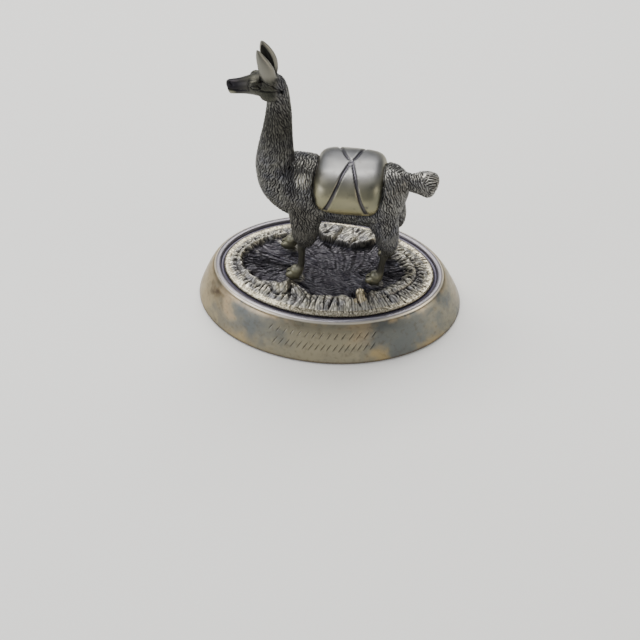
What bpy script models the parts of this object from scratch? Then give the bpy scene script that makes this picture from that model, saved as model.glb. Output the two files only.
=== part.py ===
# A small cast llama with a strapped pack, standing on a disc of rocky grass set in an oval plinth.
# The frame: +Z up, the llama looks along -X, and the origin is the middle of the plinth's underside.
import math

import bmesh
import bpy
import numpy as np
from mathutils import Vector

MM = 0.001

# Plinth, in millimetres
PLINTH_LENGTH = 54.6
PLINTH_WIDTH = 37.4
PLINTH_HEIGHT = 8.7
POCKET_INSET = 5.0
POCKET_FLOOR = 6.0

# Ground disc
DISC_INSET = 5.8
TOUCH_GAP = 0.3
LIP_HEIGHT = 8.6
LIP_WIDTH = 0.9
TURF_WIDTH = 2.6
TURF_TUFTS = 96
GRID_INSET = 5.5
GRID_RINGS = 14
GROUND_LEVEL = 9.1

# Llama: where its main lines lie
MID_Y = 0.2
BODY_AXIS = 31.3
PACK_AXIS = 34.1
MOAT = 0.3
STRAP_CROSSING = 5.4
CROSSING_TURN = math.radians(13)
STRAP_HALF_WIDTH = 0.45
STRAP_DEPTH = 0.7
STRAPS = ((9.9, 1.3), (0.3, 9.7))

# Legs: the Y of each, the X of its foot, and for a hind leg the X of its hock
FOOT_SOLE = GROUND_LEVEL + TOUCH_GAP
NEAR_Y = -3.9
FAR_Y = 4.3
FORE_LEGS = ((NEAR_Y, -6.7), (FAR_Y, -9.0))
HIND_LEGS = ((NEAR_Y + 0.5, 9.6, 12.6), (FAR_Y, 11.2, 13.2))
FEET = [leg[:2] for leg in FORE_LEGS + HIND_LEGS]

# Meshing
VOXEL = 0.17
LLAMA_SHARE = 0.0238
GROUND_SHARE = 0.21


def clear_scene():
    for thing in list(bpy.data.objects):
        bpy.data.objects.remove(thing, do_unlink=True)


def make_material(name, colour, metallic, roughness):
    material = bpy.data.materials.new(name)
    material.use_nodes = True
    shader = material.node_tree.nodes["Principled BSDF"]
    shader.inputs["Base Color"].default_value = (*colour, 1.0)
    shader.inputs["Metallic"].default_value = metallic
    shader.inputs["Roughness"].default_value = roughness
    return material


def add_object(name, mesh, material=None):
    obj = bpy.data.objects.new(name, mesh)
    bpy.context.scene.collection.objects.link(obj)
    if material:
        mesh.materials.append(material)
    return obj


def smooth_path(stations, steps):
    """Stations joined by a Catmull-Rom curve, each value running smoothly to the next."""
    ends = [stations[0]] + list(stations) + [stations[-1]]
    rows = []
    for i in range(1, len(ends) - 2):
        for k in range(steps):
            t = k / steps
            row = []
            for a, b, c, d in zip(ends[i - 1], ends[i], ends[i + 1], ends[i + 2]):
                row.append(0.5 * (2 * b + (c - a) * t + (2 * a - 5 * b + 4 * c - d) * t ** 2
                                  + (3 * b - a - 3 * c + d) * t ** 3))
            rows.append(row)
    rows.append(list(stations[-1]))
    return rows


def loft(stations, sides=32, steps=6, squareness=2.0, upright=False):
    """A closed limb: each station is x, y, z, half width across Y, half depth in the XZ plane.

    Its rings stand square to the path, or all square to X where it is upright."""
    rows = smooth_path(stations, steps)
    bm = bmesh.new()
    rings = []
    for i, (x, y, z, across, deep) in enumerate(rows):
        before, after = rows[max(i - 1, 0)], rows[min(i + 1, len(rows) - 1)]
        along = Vector((after[0] - before[0], after[1] - before[1], after[2] - before[2])).normalized()
        if upright:
            along = Vector((1, 0, 0))
        side = (Vector((0, 1, 0)) - along * along.y).normalized()
        up = along.cross(side)
        ring = []
        for k in range(sides):
            angle = 2 * math.pi * k / sides
            c, s = math.cos(angle), math.sin(angle)
            c = math.copysign(abs(c) ** (2 / squareness), c)
            s = math.copysign(abs(s) ** (2 / squareness), s)
            point = Vector((x, y, z)) + side * max(across, 0.02) * c + up * max(deep, 0.02) * s
            ring.append(bm.verts.new(point * MM))
        rings.append(ring)
    for lower, upper in zip(rings, rings[1:]):
        for k in range(sides):
            n = (k + 1) % sides
            bm.faces.new((lower[k], lower[n], upper[n], upper[k]))
    bm.faces.new(rings[0][::-1])
    bm.faces.new(rings[-1])
    bmesh.ops.recalc_face_normals(bm, faces=bm.faces)
    return bm


def to_object(name, bm):
    mesh = bpy.data.meshes.new(name)
    bm.to_mesh(mesh)
    bm.free()
    return add_object(name, mesh)


def ball(centre, radii, turn=0.0):
    """An ellipsoid, turned about Y by an angle in degrees."""
    bm = bmesh.new()
    bmesh.ops.create_uvsphere(bm, u_segments=40, v_segments=24, radius=1.0)
    angle = math.radians(turn)
    for vert in bm.verts:
        p = Vector((vert.co.x * radii[0], vert.co.y * radii[1], vert.co.z * radii[2]))
        x = p.x * math.cos(angle) + p.z * math.sin(angle)
        z = -p.x * math.sin(angle) + p.z * math.cos(angle)
        vert.co = (Vector((x, p.y, z)) + Vector(centre)) * MM
    return bm


def as_cutter(obj):
    obj.hide_render = True
    obj.display_type = "WIRE"
    return obj


def apply_modifiers(obj):
    """The object's mesh becomes what its modifiers make of it."""
    graph = bpy.context.evaluated_depsgraph_get()
    mesh = bpy.data.meshes.new_from_object(obj.evaluated_get(graph))
    obj.modifiers.clear()
    obj.data = mesh


def cut(obj, cutter):
    boolean = obj.modifiers.new("cut", "BOOLEAN")
    boolean.operation = "DIFFERENCE"
    boolean.solver = "EXACT"
    boolean.object = cutter
    apply_modifiers(obj)
    bpy.data.objects.remove(cutter, do_unlink=True)


def taken_mesh(obj):
    """The object's mesh as a bmesh; the object itself goes."""
    bm = bmesh.new()
    bm.from_mesh(obj.data)
    bpy.data.objects.remove(obj, do_unlink=True)
    return bm


def body_forms():
    """Trunk, rump and chest, as one barrel of fleece from the withers to the tail."""
    trunk = [
        (-9.5, MID_Y, 33.5, 3.4, 4.4),
        (-7.5, MID_Y, 32.6, 5.3, 6.4),
        (-4.5, MID_Y, 31.8, 6.2, 7.1),
        (-1.0, MID_Y, BODY_AXIS + 0.1, 6.2, 6.9),
        (5.0, MID_Y, BODY_AXIS, 6.0, 6.7),
        (11.0, MID_Y, BODY_AXIS, 6.3, 6.8),
        (13.4, MID_Y, 31.7, 5.8, 6.2),
        (14.7, MID_Y, 32.3, 4.6, 5.1),
        (15.6, MID_Y, 33.3, 3.2, 3.7),
        (16.3, MID_Y, 34.1, 1.9, 2.2),
        (16.6, MID_Y, 34.5, 0.6, 0.8),
    ]
    skin = to_object("trunk", loft(trunk, 56, upright=True))
    cut(skin, as_cutter(to_object("moat", pack_form(MOAT))))
    core = [(x, y, z, across - 0.9, deep - 0.9) for x, y, z, across, deep in trunk[1:-3]]
    return [taken_mesh(skin), loft(core, 48, upright=True)]


def neck_forms():
    """The tall neck, which swells into the chest and turns back under the shoulders."""
    neck = [
        (-9.7, MID_Y, 59.8, 1.2, 1.2),
        (-9.2, MID_Y, 57.6, 1.95, 2.1),
        (-8.9, MID_Y, 54.0, 2.1, 2.3),
        (-9.0, MID_Y, 50.5, 2.35, 2.6),
        (-9.4, MID_Y, 46.0, 2.7, 3.0),
        (-9.9, MID_Y, 41.0, 3.2, 3.6),
        (-10.0, MID_Y, 36.5, 3.8, 4.1),
        (-8.9, MID_Y, 32.3, 4.4, 4.5),
        (-6.2, MID_Y, 29.6, 4.8, 4.4),
        (-3.0, MID_Y, 28.6, 4.6, 3.6),
    ]
    return [loft(neck, 40)]


def head_forms():
    """Skull and muzzle along X, with the cheeks and brows standing out."""
    skull = [
        (-18.5, MID_Y, 56.5, 0.7, 0.95),
        (-18.3, MID_Y, 56.55, 1.05, 1.3),
        (-17.6, MID_Y, 56.65, 1.2, 1.4),
        (-16.2, MID_Y, 56.9, 1.25, 1.5),
        (-14.6, MID_Y, 57.3, 1.6, 1.85),
        (-12.8, MID_Y, 57.7, 2.15, 2.35),
        (-10.8, MID_Y, 57.9, 2.35, 2.6),
        (-9.0, MID_Y, 57.8, 2.0, 2.3),
        (-7.7, MID_Y, 57.4, 1.1, 1.3),
    ]
    forms = [loft(skull, 36)]
    for side in (-1, 1):
        forms.append(ball((-13.3, MID_Y + side * 1.45, 58.9), (1.15, 0.75, 0.8), -12))
        forms.append(ball((-10.4, MID_Y + side * 1.75, 56.4), (1.9, 0.85, 1.35), 8))
    return forms


def ear(side, lean):
    """A tall cupped leaf, hollow towards the middle of the head and a little forward."""
    stations = [
        (-10.2, MID_Y + side * 1.35, 59.3, 0.95, 1.0),
        (-10.3, MID_Y + side * 1.45, 60.8, 0.95, 1.35),
        (-10.6 + 0.1 * lean, MID_Y + side * 1.55, 62.5, 0.95, 1.5),
        (-11.1 + 0.3 * lean, MID_Y + side * 1.55, 64.1, 0.85, 1.3 + 0.2 * lean),
        (-11.7 + 0.6 * lean, MID_Y + side * 1.5, 65.7, 0.65, 0.85 + 0.3 * lean),
        (-12.1 + 0.7 * lean, MID_Y + side * 1.4, 66.9, 0.35, 0.4 + 0.2 * lean),
        (-12.3 + 0.7 * lean, MID_Y + side * 1.35, 67.4, 0.15, 0.15),
    ]
    leaf = to_object("ear", loft(stations, 24))
    hollow = [(x - 0.1, y - side * 0.72, z, across * 0.85, deep * 0.62)
              for x, y, z, across, deep in stations[1:]]
    cut(leaf, as_cutter(to_object("ear_hollow", loft(hollow, 20))))
    return taken_mesh(leaf)


def fore_leg(y, foot_x):
    """Wide fleece down to the knee, then a bare shank and a splayed foot that points forward."""
    lean = foot_x - FORE_LEGS[0][1]
    fleece = [
        (-3.8, y * 0.72, 34.0, 1.6, 3.0),
        (-3.6, y * 0.95, 29.5, 2.3, 3.7),
        (-3.9 + 0.2 * lean, y, 25.0, 2.3, 2.95),
        (-4.0 + 0.4 * lean, y, 22.0, 2.1, 2.6),
        (-4.1 + 0.5 * lean, y, 20.3, 1.85, 2.35),
        (-4.3 + 0.6 * lean, y, 19.5, 1.3, 1.6),
        (-4.5 + 0.6 * lean, y, 19.1, 0.6, 0.8),
    ]
    shank = [
        (-4.4 + 0.6 * lean, y, 21.0, 0.9, 0.95),
        (-4.8 + 0.65 * lean, y, 18.8, 0.8, 0.85),
        (-4.8 + 0.75 * lean, y, 15.6, 0.62, 0.66),
        (-5.0 + 0.9 * lean, y, 13.2, 0.7, 0.72),
        (-5.4 + lean, y, 11.9, 0.95, 0.95),
        (-5.6 + lean, y, 10.9, 0.7, 0.7),
    ]
    return [loft(fleece, 32), loft(shank, 20)] + foot(y, foot_x)


def hind_leg(y, foot_x, hock_x):
    """A heavy thigh, fleece to the hock, and a shank that slants forward to the foot."""
    lean = hock_x - HIND_LEGS[0][2]
    thigh = [
        (11.0, y * 0.72, 34.0, 1.6, 2.6),
        (11.2 + 0.2 * lean, y * 0.95, 29.5, 2.4, 3.6),
        (12.4 + 0.6 * lean, y, 24.5, 2.2, 2.6),
        (hock_x, y, 21.5, 1.95, 2.25),
        (hock_x + 0.1, y, 19.6, 1.7, 2.1),
        (hock_x, y, 18.6, 1.1, 1.4),
        (hock_x - 0.2, y, 18.2, 0.5, 0.7),
    ]
    run = foot_x - hock_x
    shank = [
        (hock_x - 0.1, y, 20.0, 0.9, 1.0),
        (hock_x - 0.4 + 0.05 * run, y, 18.0, 0.75, 0.85),
        (hock_x - 0.2 + 0.3 * run, y, 15.0, 0.6, 0.66),
        (hock_x + 0.5 * run, y, 12.6, 0.75, 0.78),
        (hock_x + 0.6 * run, y, 11.6, 0.9, 0.9),
        (hock_x + 0.65 * run, y, 10.8, 0.7, 0.7),
    ]
    return [loft(thigh, 32), loft(shank, 20)] + foot(y, foot_x)


def foot(y, x):
    """Two blunt toes side by side, under a rounded pastern."""
    forms = [ball((x + 0.75, y, FOOT_SOLE + 1.35), (1.15, 0.95, 1.05), -20)]
    for side in (-1, 1):
        toe = [
            (x + 1.3, y + side * 0.42, FOOT_SOLE + 0.75, 0.5, 0.7),
            (x + 0.3, y + side * 0.5, FOOT_SOLE + 0.65, 0.55, 0.68),
            (x - 0.8, y + side * 0.5, FOOT_SOLE + 0.45, 0.45, 0.45),
            (x - 1.25, y + side * 0.48, FOOT_SOLE + 0.3, 0.2, 0.25),
        ]
        forms.append(loft(toe, 16))
    return forms


def tail_forms():
    """A short dock that ends in a bushy plume."""
    plume = [
        (14.6, MID_Y, 35.9, 1.7, 2.0),
        (16.4, MID_Y, 35.6, 1.6, 1.75),
        (17.6, MID_Y, 35.5, 1.8, 1.95),
        (19.2, MID_Y, 35.5, 2.3, 2.55),
        (20.7, MID_Y, 35.1, 2.4, 2.6),
        (21.7, MID_Y, 34.8, 1.7, 1.9),
        (22.15, MID_Y, 34.6, 0.6, 0.7),
    ]
    return [loft(plume, 32)]


def pack_form(swell=0.0):
    """A smooth rounded bundle that lies over the back and hangs to half way down both flanks."""
    stations = []
    centre_x, half_length, half_width, half_height = 4.8, 6.95 + swell, 7.15 + swell, 5.15 + swell
    steps = 20
    for i in range(steps + 1):
        turn = math.pi * i / steps
        t = -math.copysign(abs(math.cos(turn)) ** 0.8, math.cos(turn))
        share = max(1 - abs(t) ** 4.5, 0.0) ** (1 / 4.5)
        stations.append((centre_x + half_length * t, MID_Y, PACK_AXIS, half_width * share, half_height * share))
    return loft(stations, 48, 2, 2.45)


def strap_cutter(near_x, far_x):
    """A slanting band over the pack, from low on one flank to low on the other, that sinks its strap."""
    reach = math.radians(125)
    sides = 8
    stations = []
    steps = 40
    for i in range(steps + 1):
        turn = reach * (2 * i / steps - 1)
        past = turn - CROSSING_TURN
        far_share, near_share = max(past, 0) / (reach - CROSSING_TURN), max(-past, 0) / (reach + CROSSING_TURN)
        x = STRAP_CROSSING + (far_x - STRAP_CROSSING) * far_share + (near_x - STRAP_CROSSING) * near_share
        stations.append((x, MID_Y + 7.3 * math.sin(turn), PACK_AXIS + 5.3 * math.cos(turn)))
    bm = bmesh.new()
    rings = []
    for i, point in enumerate(stations):
        before, after = stations[max(i - 1, 0)], stations[min(i + 1, steps)]
        along = (Vector(after) - Vector(before)).normalized()
        out = Vector((0, point[1] - MID_Y, point[2] - PACK_AXIS)).normalized()
        side = along.cross(out).normalized()
        ring = []
        for k in range(sides):
            turn = 2 * math.pi * k / sides
            offset = side * STRAP_HALF_WIDTH * math.cos(turn) + out * STRAP_DEPTH * math.sin(turn)
            ring.append(bm.verts.new((Vector(point) + offset) * MM))
        rings.append(ring)
    for lower, upper in zip(rings, rings[1:]):
        for k in range(sides):
            n = (k + 1) % sides
            bm.faces.new((lower[k], lower[n], upper[n], upper[k]))
    bm.faces.new(rings[0][::-1])
    bm.faces.new(rings[-1])
    bmesh.ops.recalc_face_normals(bm, faces=bm.faces)
    return bm


def line_distance(points, line):
    """How far each point lies from a chain of straight segments, all in the XZ plane."""
    nearest = np.full(len(points), 1e9)
    for start, end in zip(np.array(line[:-1]), np.array(line[1:])):
        run = end - start
        share = np.clip((points - start) @ run / (run @ run), 0.0, 1.0)
        nearest = np.minimum(nearest, np.linalg.norm(points - start - share[:, None] * run, axis=1))
    return nearest


def carve(mesh, cuts):
    """Each cut is a line in side view with its half width and depth, made on both flanks alike.

    A negative depth raises the line instead. Only skin that faces sideways is moved."""
    count = len(mesh.vertices)
    place = np.empty(count * 3)
    mesh.vertices.foreach_get("co", place)
    place = place.reshape(count, 3) / MM
    normal = np.empty(count * 3)
    mesh.vertex_normals.foreach_get("vector", normal)
    normal = normal.reshape(count, 3)
    flank = np.abs(place[:, 1] - MID_Y)
    for line, half_width, depth, least_flank in cuts:
        away = line_distance(place[:, [0, 2]], line) / half_width
        share = np.where(away < 1, (1 - np.minimum(away, 1) ** 2) ** 2, 0.0)
        share *= (flank > least_flank) * np.clip(np.abs(normal[:, 1]) * 2, 0, 1)
        place -= normal * (share * depth)[:, None]
    mesh.vertices.foreach_set("co", (place * MM).ravel())
    mesh.update()


def face_cuts():
    """Mouth, nostril, cheek and eye, on a head that looks along -X."""
    return [
        ([(-18.6, 56.9), (-17.2, 56.8), (-15.4, 56.9), (-14.6, 57.2)], 0.32, 0.30, 0.3),
        ([(-18.1, 57.9), (-17.7, 57.6)], 0.30, 0.30, 0.2),
        ([(-14.3, 59.0), (-14.3, 57.4)], 0.35, 0.14, 0.5),
        ([(-13.7, 58.4), (-13.0, 58.6), (-12.2, 58.4)], 0.85, 0.32, 0.8),
        ([(-13.3, 58.5), (-12.7, 58.5)], 0.50, -0.34, 0.8),
        ([(-12.2, 59.5), (-10.6, 59.6), (-9.2, 58.4), (-7.9, 57.3)], 0.45, 0.22, 0.8),
        ([(-11.9, 57.8), (-9.8, 57.7), (-8.0, 57.0)], 0.45, 0.20, 0.8),
    ]


def fleece_cuts():
    """The broad locks: a fan on the tail's plume and the fringes over knees and hocks."""
    cuts = []
    for k in range(-3, 4):
        turn = math.radians(26 * k)
        tip = (19.0 + 3.4 * math.cos(turn), 35.3 + 3.2 * math.sin(turn))
        cuts.append(([(18.0 + 0.4 * math.cos(turn), 35.4 + 0.9 * math.sin(turn)), tip], 0.42, 0.22, 0.0))
    for x in (-6.0, -4.6, -3.2, -2.0, 11.3, 12.7, 14.1):
        cuts.append(([(x + 0.3, 22.5), (x, 19.2)], 0.5, 0.16, 0.5))
    return cuts


def hoof_cuts():
    """The cleft at the front of each foot."""
    cuts = []
    for _, x in FEET:
        cuts.append(([(x - 1.2, FOOT_SOLE + 0.9), (x + 0.2, FOOT_SOLE + 1.5)], 0.35, 0.12, 0.0))
    return cuts


def make_llama(material):
    """All the limbs are fused into one skin, smoothed as wax is, and thinned to a light mesh."""
    forms = body_forms() + neck_forms() + head_forms() + tail_forms()
    for y, foot_x in FORE_LEGS:
        forms += fore_leg(y, foot_x)
    for y, foot_x, hock_x in HIND_LEGS:
        forms += hind_leg(y, foot_x, hock_x)
    forms += [ear(-1, 0.0), ear(1, 0.5)]
    pack = to_object("pack", pack_form())
    for near_x, far_x in STRAPS:
        cut(pack, as_cutter(to_object("strap", strap_cutter(near_x, far_x))))
    whole = bmesh.new()
    for form in forms:
        piece = bpy.data.meshes.new("piece")
        form.to_mesh(piece)
        form.free()
        whole.from_mesh(piece)
    whole.from_mesh(pack.data)
    bpy.data.objects.remove(pack, do_unlink=True)
    mesh = bpy.data.meshes.new("llama")
    whole.to_mesh(mesh)
    whole.free()
    llama = add_object("llama", mesh, material)
    fuse = llama.modifiers.new("fuse", "REMESH")
    fuse.mode = "VOXEL"
    fuse.voxel_size = VOXEL * MM
    soften = llama.modifiers.new("soften", "SMOOTH")
    soften.factor = 0.5
    soften.iterations = 4
    apply_modifiers(llama)
    carve(llama.data, face_cuts() + fleece_cuts() + hoof_cuts())
    thin = llama.modifiers.new("thin", "DECIMATE")
    thin.ratio = LLAMA_SHARE
    thin.use_collapse_triangulate = True
    return llama


def oval_points(inset, sides):
    """Points on the oval that lies a set distance inside the plinth's foot."""
    points = []
    for k in range(sides):
        angle = 2 * math.pi * k / sides
        x, y = PLINTH_LENGTH / 2 * math.cos(angle), PLINTH_WIDTH / 2 * math.sin(angle)
        normal = Vector((x / PLINTH_LENGTH ** 2, y / PLINTH_WIDTH ** 2, 0)).normalized()
        points.append(Vector((x, y, 0)) - normal * inset)
    return points


def oval_stack(profile, sides):
    """A solid of oval rings, one for each (inset, height) of the profile, closed at both ends."""
    bm = bmesh.new()
    rings = []
    for inset, height in profile:
        rings.append([bm.verts.new((p + Vector((0, 0, height))) * MM) for p in oval_points(inset, sides)])
    for lower, upper in zip(rings, rings[1:]):
        for k in range(sides):
            n = (k + 1) % sides
            bm.faces.new((lower[k], lower[n], upper[n], upper[k]))
    bm.faces.new(rings[0][::-1])
    bm.faces.new(rings[-1])
    bmesh.ops.recalc_face_normals(bm, faces=bm.faces)
    return bm


def make_plinth(material):
    """The band swells a little as it rises, rolls over a bright bead and drops into the pocket."""
    profile = [
        (0.35, 0.0), (0.0, 0.35), (1.1, 3.7), (2.1, 6.1), (2.9, 7.5), (3.4, 8.0),
        (4.0, 8.35), (4.5, PLINTH_HEIGHT), (POCKET_INSET, 8.45), (POCKET_INSET, POCKET_FLOOR),
    ]
    bm = oval_stack(profile, 72)
    plinth = to_object("plinth", bm)
    plinth.data.materials.append(material)
    plinth.data.shade_smooth()
    return plinth


def mound(x, y, centre, reach, turn=0.0):
    """A soft hill of height 1, as wide as its reach along and across."""
    angle = math.radians(turn)
    dx, dy = x - centre[0], y - centre[1]
    along = dx * math.cos(angle) + dy * math.sin(angle)
    across = -dx * math.sin(angle) + dy * math.cos(angle)
    return math.exp(-(along / reach[0]) ** 2 - (across / reach[1]) ** 2)


def blend(low, high, value):
    """0 below low, 1 above high, and an even slope between."""
    t = min(max((value - low) / (high - low), 0.0), 1.0)
    return t * t * (3 - 2 * t)


def ground_height(x, y, inset, angle):
    """The disc's relief: plain lip, ring of turf tufts, ridge, hollows, rock ledge and grass fans."""
    ends = abs(math.cos(angle)) ** 1.5
    turf_end = LIP_WIDTH + TURF_WIDTH + 1.3 * (1 - ends)
    z = LIP_HEIGHT + 0.75 * blend(LIP_WIDTH * 0.8, turf_end, inset)
    share = min(max((inset - LIP_WIDTH) / (turf_end - LIP_WIDTH), 0.0), 1.0)
    z += 0.26 * math.sin(math.pi * share) * math.cos(angle * TURF_TUFTS)
    z += 0.7 * ends * math.exp(-((inset - 4.5) / 1.0) ** 2)
    z -= 0.75 * blend(turf_end + 0.7, turf_end + 2.5, inset)
    inside = blend(5.4, 7.4, inset)
    z += 0.16 * inside * math.sin(1.7 * x + 0.6 * y) * math.cos(1.5 * y - 0.4 * x)
    z -= 0.45 * mound(x, y, (13.4, 0.8), (2.0, 3.4))
    z -= 0.45 * mound(x, y, (-9.8, 1.0), (3.4, 1.8))
    z -= 0.45 * mound(x, y, (7.0, 2.4), (3.4, 1.5))
    z += 0.6 * mound(x, y, (-14.4, 0.9), (1.7, 2.8))
    z += 0.45 * mound(x, y, (1.0, 1.5), (3.4, 2.6), -20)
    ledge_front = 4.3 + 0.42 * max(x - 5.4, 0.0) ** 1.5 + 0.25 * math.sin(1.6 * x)
    ledge = blend(0.0, 1.3, y - ledge_front) * blend(-3.9, -2.5, x) * blend(0.7, 2.6, inset)
    z += (1.9 - 0.16 * max(y - 6.0, 0.0)) * ledge
    z += 1.0 * mound(x, y, (-6.0, -7.4), (1.9, 2.0), 10)
    z += 1.0 * mound(x, y, (8.4, -6.3), (1.3, 2.2), -12)
    z += 0.7 * mound(x, y, (-11.9, 5.3), (2.4, 1.1), -20)
    for foot_y, foot_x in FEET:
        pad = min(1.0, 1.7 * mound(x, y, (foot_x + 0.5, foot_y), (2.3, 1.8)))
        z += (GROUND_LEVEL - z) * pad
    return z


def ground_rows(sides):
    """Rings of points from the disc's edge inwards: first side by side, then shrinking to the middle."""
    rows = []
    step = GRID_INSET / GRID_RINGS
    for i in range(GRID_RINGS + 1):
        inset = 0.12 + step * i
        rows.append((inset, oval_points(DISC_INSET + inset, sides)))
    last_inset, last_ring = rows[-1]
    room = PLINTH_WIDTH / 2 - DISC_INSET - last_inset
    for i in range(1, GRID_RINGS):
        share = i / GRID_RINGS
        rows.append((last_inset + room * share, [p * (1 - share) for p in last_ring]))
    return rows


def make_ground(material):
    """A polar grid drawn inwards from the disc's edge, raised by the relief, over a flat underside."""
    sides = 2 * TURF_TUFTS
    rim = oval_points(DISC_INSET, sides)
    floor = POCKET_FLOOR + TOUCH_GAP
    bm = bmesh.new()
    rings = []
    for height in (floor, LIP_HEIGHT - 0.2):
        rings.append([bm.verts.new((p + Vector((0, 0, height))) * MM) for p in rim])
    for inset, row in ground_rows(sides):
        ring = []
        for k, p in enumerate(row):
            z = ground_height(p.x, p.y, inset, 2 * math.pi * k / sides)
            ring.append(bm.verts.new(Vector((p.x, p.y, z)) * MM))
        rings.append(ring)
    for lower, upper in zip(rings, rings[1:]):
        for k in range(sides):
            n = (k + 1) % sides
            bm.faces.new((lower[k], lower[n], upper[n], upper[k]))
    bm.faces.new(rings[0][::-1])
    bm.faces.new(rings[-1])
    bmesh.ops.recalc_face_normals(bm, faces=bm.faces)
    ground = to_object("ground", bm)
    ground.data.materials.append(material)
    thin = ground.modifiers.new("thin", "DECIMATE")
    thin.ratio = GROUND_SHARE
    thin.use_collapse_triangulate = True
    return ground


clear_scene()
make_llama(make_material("oxidised_silver", (0.20, 0.19, 0.16), 1.0, 0.42))
make_ground(make_material("blackened_silver", (0.33, 0.31, 0.28), 1.0, 0.5))
make_plinth(make_material("polished_silver", (0.58, 0.56, 0.47), 1.0, 0.28))
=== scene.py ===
# A small cast silver llama with a strapped pack, on a disc of rocky grass set in an oval plinth.
import math

import bmesh
import bpy
import numpy as np
from mathutils import Matrix, Vector, kdtree
from mathutils.bvhtree import BVHTree


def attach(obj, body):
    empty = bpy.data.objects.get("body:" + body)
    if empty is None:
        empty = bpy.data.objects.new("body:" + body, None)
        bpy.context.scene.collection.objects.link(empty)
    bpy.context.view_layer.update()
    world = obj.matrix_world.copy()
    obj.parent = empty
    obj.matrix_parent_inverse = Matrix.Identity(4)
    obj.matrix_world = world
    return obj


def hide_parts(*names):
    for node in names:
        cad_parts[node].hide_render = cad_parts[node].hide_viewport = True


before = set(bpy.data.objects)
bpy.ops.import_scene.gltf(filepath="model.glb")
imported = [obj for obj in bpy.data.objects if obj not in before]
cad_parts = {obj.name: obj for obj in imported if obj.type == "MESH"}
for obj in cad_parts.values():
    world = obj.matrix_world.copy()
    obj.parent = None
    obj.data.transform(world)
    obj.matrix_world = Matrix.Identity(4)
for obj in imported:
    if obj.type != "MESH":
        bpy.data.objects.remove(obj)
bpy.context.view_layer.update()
bpy.ops.object.select_all(action="DESELECT")
MM = 0.001

# Studio: a pale floor, one broad soft light overhead, a strip behind, two weaker lights at the sides and
# a pale grey surround. The camera looks down on the near flank, from a little towards the tail.
CAMERA_PLACE = (49.11, -295.78, 330.89)
CAMERA_AZIMUTH = math.radians(9.825)
CAMERA_TILT = math.radians(41.54)
CAMERA_ROLL = math.radians(-1.70)
CAMERA_LENS = 120.25


def linear(code, alpha=1.0):
    """An sRGB hex colour as the linear values that Blender's sockets take."""
    channels = [int(code[i:i + 2], 16) / 255 for i in (1, 3, 5)]
    return (*[c / 12.92 if c <= 0.04045 else ((c + 0.055) / 1.055) ** 2.4 for c in channels], alpha)


def put(tree, kind, settings, inputs):
    """One node: its own settings, and for each input a value or the socket that feeds it."""
    made = tree.nodes.new(kind)
    for name, value in settings.items():
        setattr(made, name, value)
    for name, value in inputs.items():
        if isinstance(value, bpy.types.NodeSocket):
            tree.links.new(value, made.inputs[name])
        else:
            made.inputs[name].default_value = value
    return made


def new_material(name):
    material = bpy.data.materials.new(name)
    material.use_nodes = True
    return material, material.node_tree, material.node_tree.nodes["Principled BSDF"]


bpy.ops.object.camera_add()
camera = bpy.context.object
camera.data.lens = CAMERA_LENS
camera.data.clip_start = 0.01
shift = Matrix.Translation(Vector(CAMERA_PLACE) * MM)
turn = Matrix.Rotation(CAMERA_AZIMUTH, 4, "Z") @ Matrix.Rotation(CAMERA_TILT, 4, "X")
camera.matrix_world = shift @ turn @ Matrix.Rotation(CAMERA_ROLL, 4, "Z")
bpy.context.scene.camera = camera

bpy.ops.mesh.primitive_plane_add(size=4.0)
floor = bpy.context.object
floor.name = "floor"
material, tree, shader = new_material("pale_paper")
shader.inputs["Base Color"].default_value = linear("#E8E8E6")
shader.inputs["Roughness"].default_value = 0.6
floor.data.materials.append(material)

surround = bpy.data.worlds.new("surround")
surround.use_nodes = True
surround.node_tree.nodes["Background"].inputs["Color"].default_value = linear("#D9DDE2")
surround.node_tree.nodes["Background"].inputs["Strength"].default_value = 0.55
bpy.context.scene.world = surround

LIGHTS = (
    ("overhead", (-0.12, 0.24, 0.56), (0.80, 0.28), 6.5, "#FFFCF6"),
    ("behind", (-0.09, 0.50, 0.40), (0.75, 0.14), 0.7, "#F2F6FF"),
    ("front_left", (-0.50, -0.35, 0.22), (0.34, 0.34), 1.3, "#F6F6FF"),
    ("right", (0.50, -0.16, 0.20), (0.30, 0.30), 0.9, "#FFF4E2"),
)
for name, place, size, power, colour in LIGHTS:
    bpy.ops.object.light_add(type="AREA", location=place)
    lamp = bpy.context.object
    lamp.name = name
    lamp.data.shape = "RECTANGLE"
    lamp.data.size, lamp.data.size_y = size
    lamp.data.energy = power
    lamp.data.color = linear(colour)[:3]
    aim = Vector((0, 0, 0.03)) - Vector(place)
    lamp.rotation_euler = aim.to_track_quat("-Z", "Y").to_euler()


# Plinth: a hollow oval base of sheet silver, spun and chased to a sloping band with a rounded bead
# round its top. Golden brown tarnish lies in patches over the satin grey of the band. Two rows of
# shallow slanting strokes are engraved on the front.
PLINTH_LENGTH = 54.6
PLINTH_WIDTH = 37.4
POCKET_INSET = 4.95
POCKET_FLOOR = 6.0
PLINTH_SIDES = 960
FRONT_SHARE = 0.6
DISC_INSET = 5.55
STROKE_ROWS = ((6.15, 1.5, 15, -9.6, 11.4), (3.75, 1.9, 17, -8.6, 11.2))
STROKE_SLANT = 0.62
STROKE_HALF_WIDTH = 0.15
STROKE_DEPTH = 0.11


def oval(inset, angle, length=PLINTH_LENGTH, width=PLINTH_WIDTH):
    """X and Y of the oval that lies a set distance inside the plinth's foot, at each angle."""
    x, y = length / 2 * np.cos(angle), width / 2 * np.sin(angle)
    nx, ny = x / length ** 2, y / width ** 2
    long = np.hypot(nx, ny)
    return x - nx / long * inset, y - ny / long * inset


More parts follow.
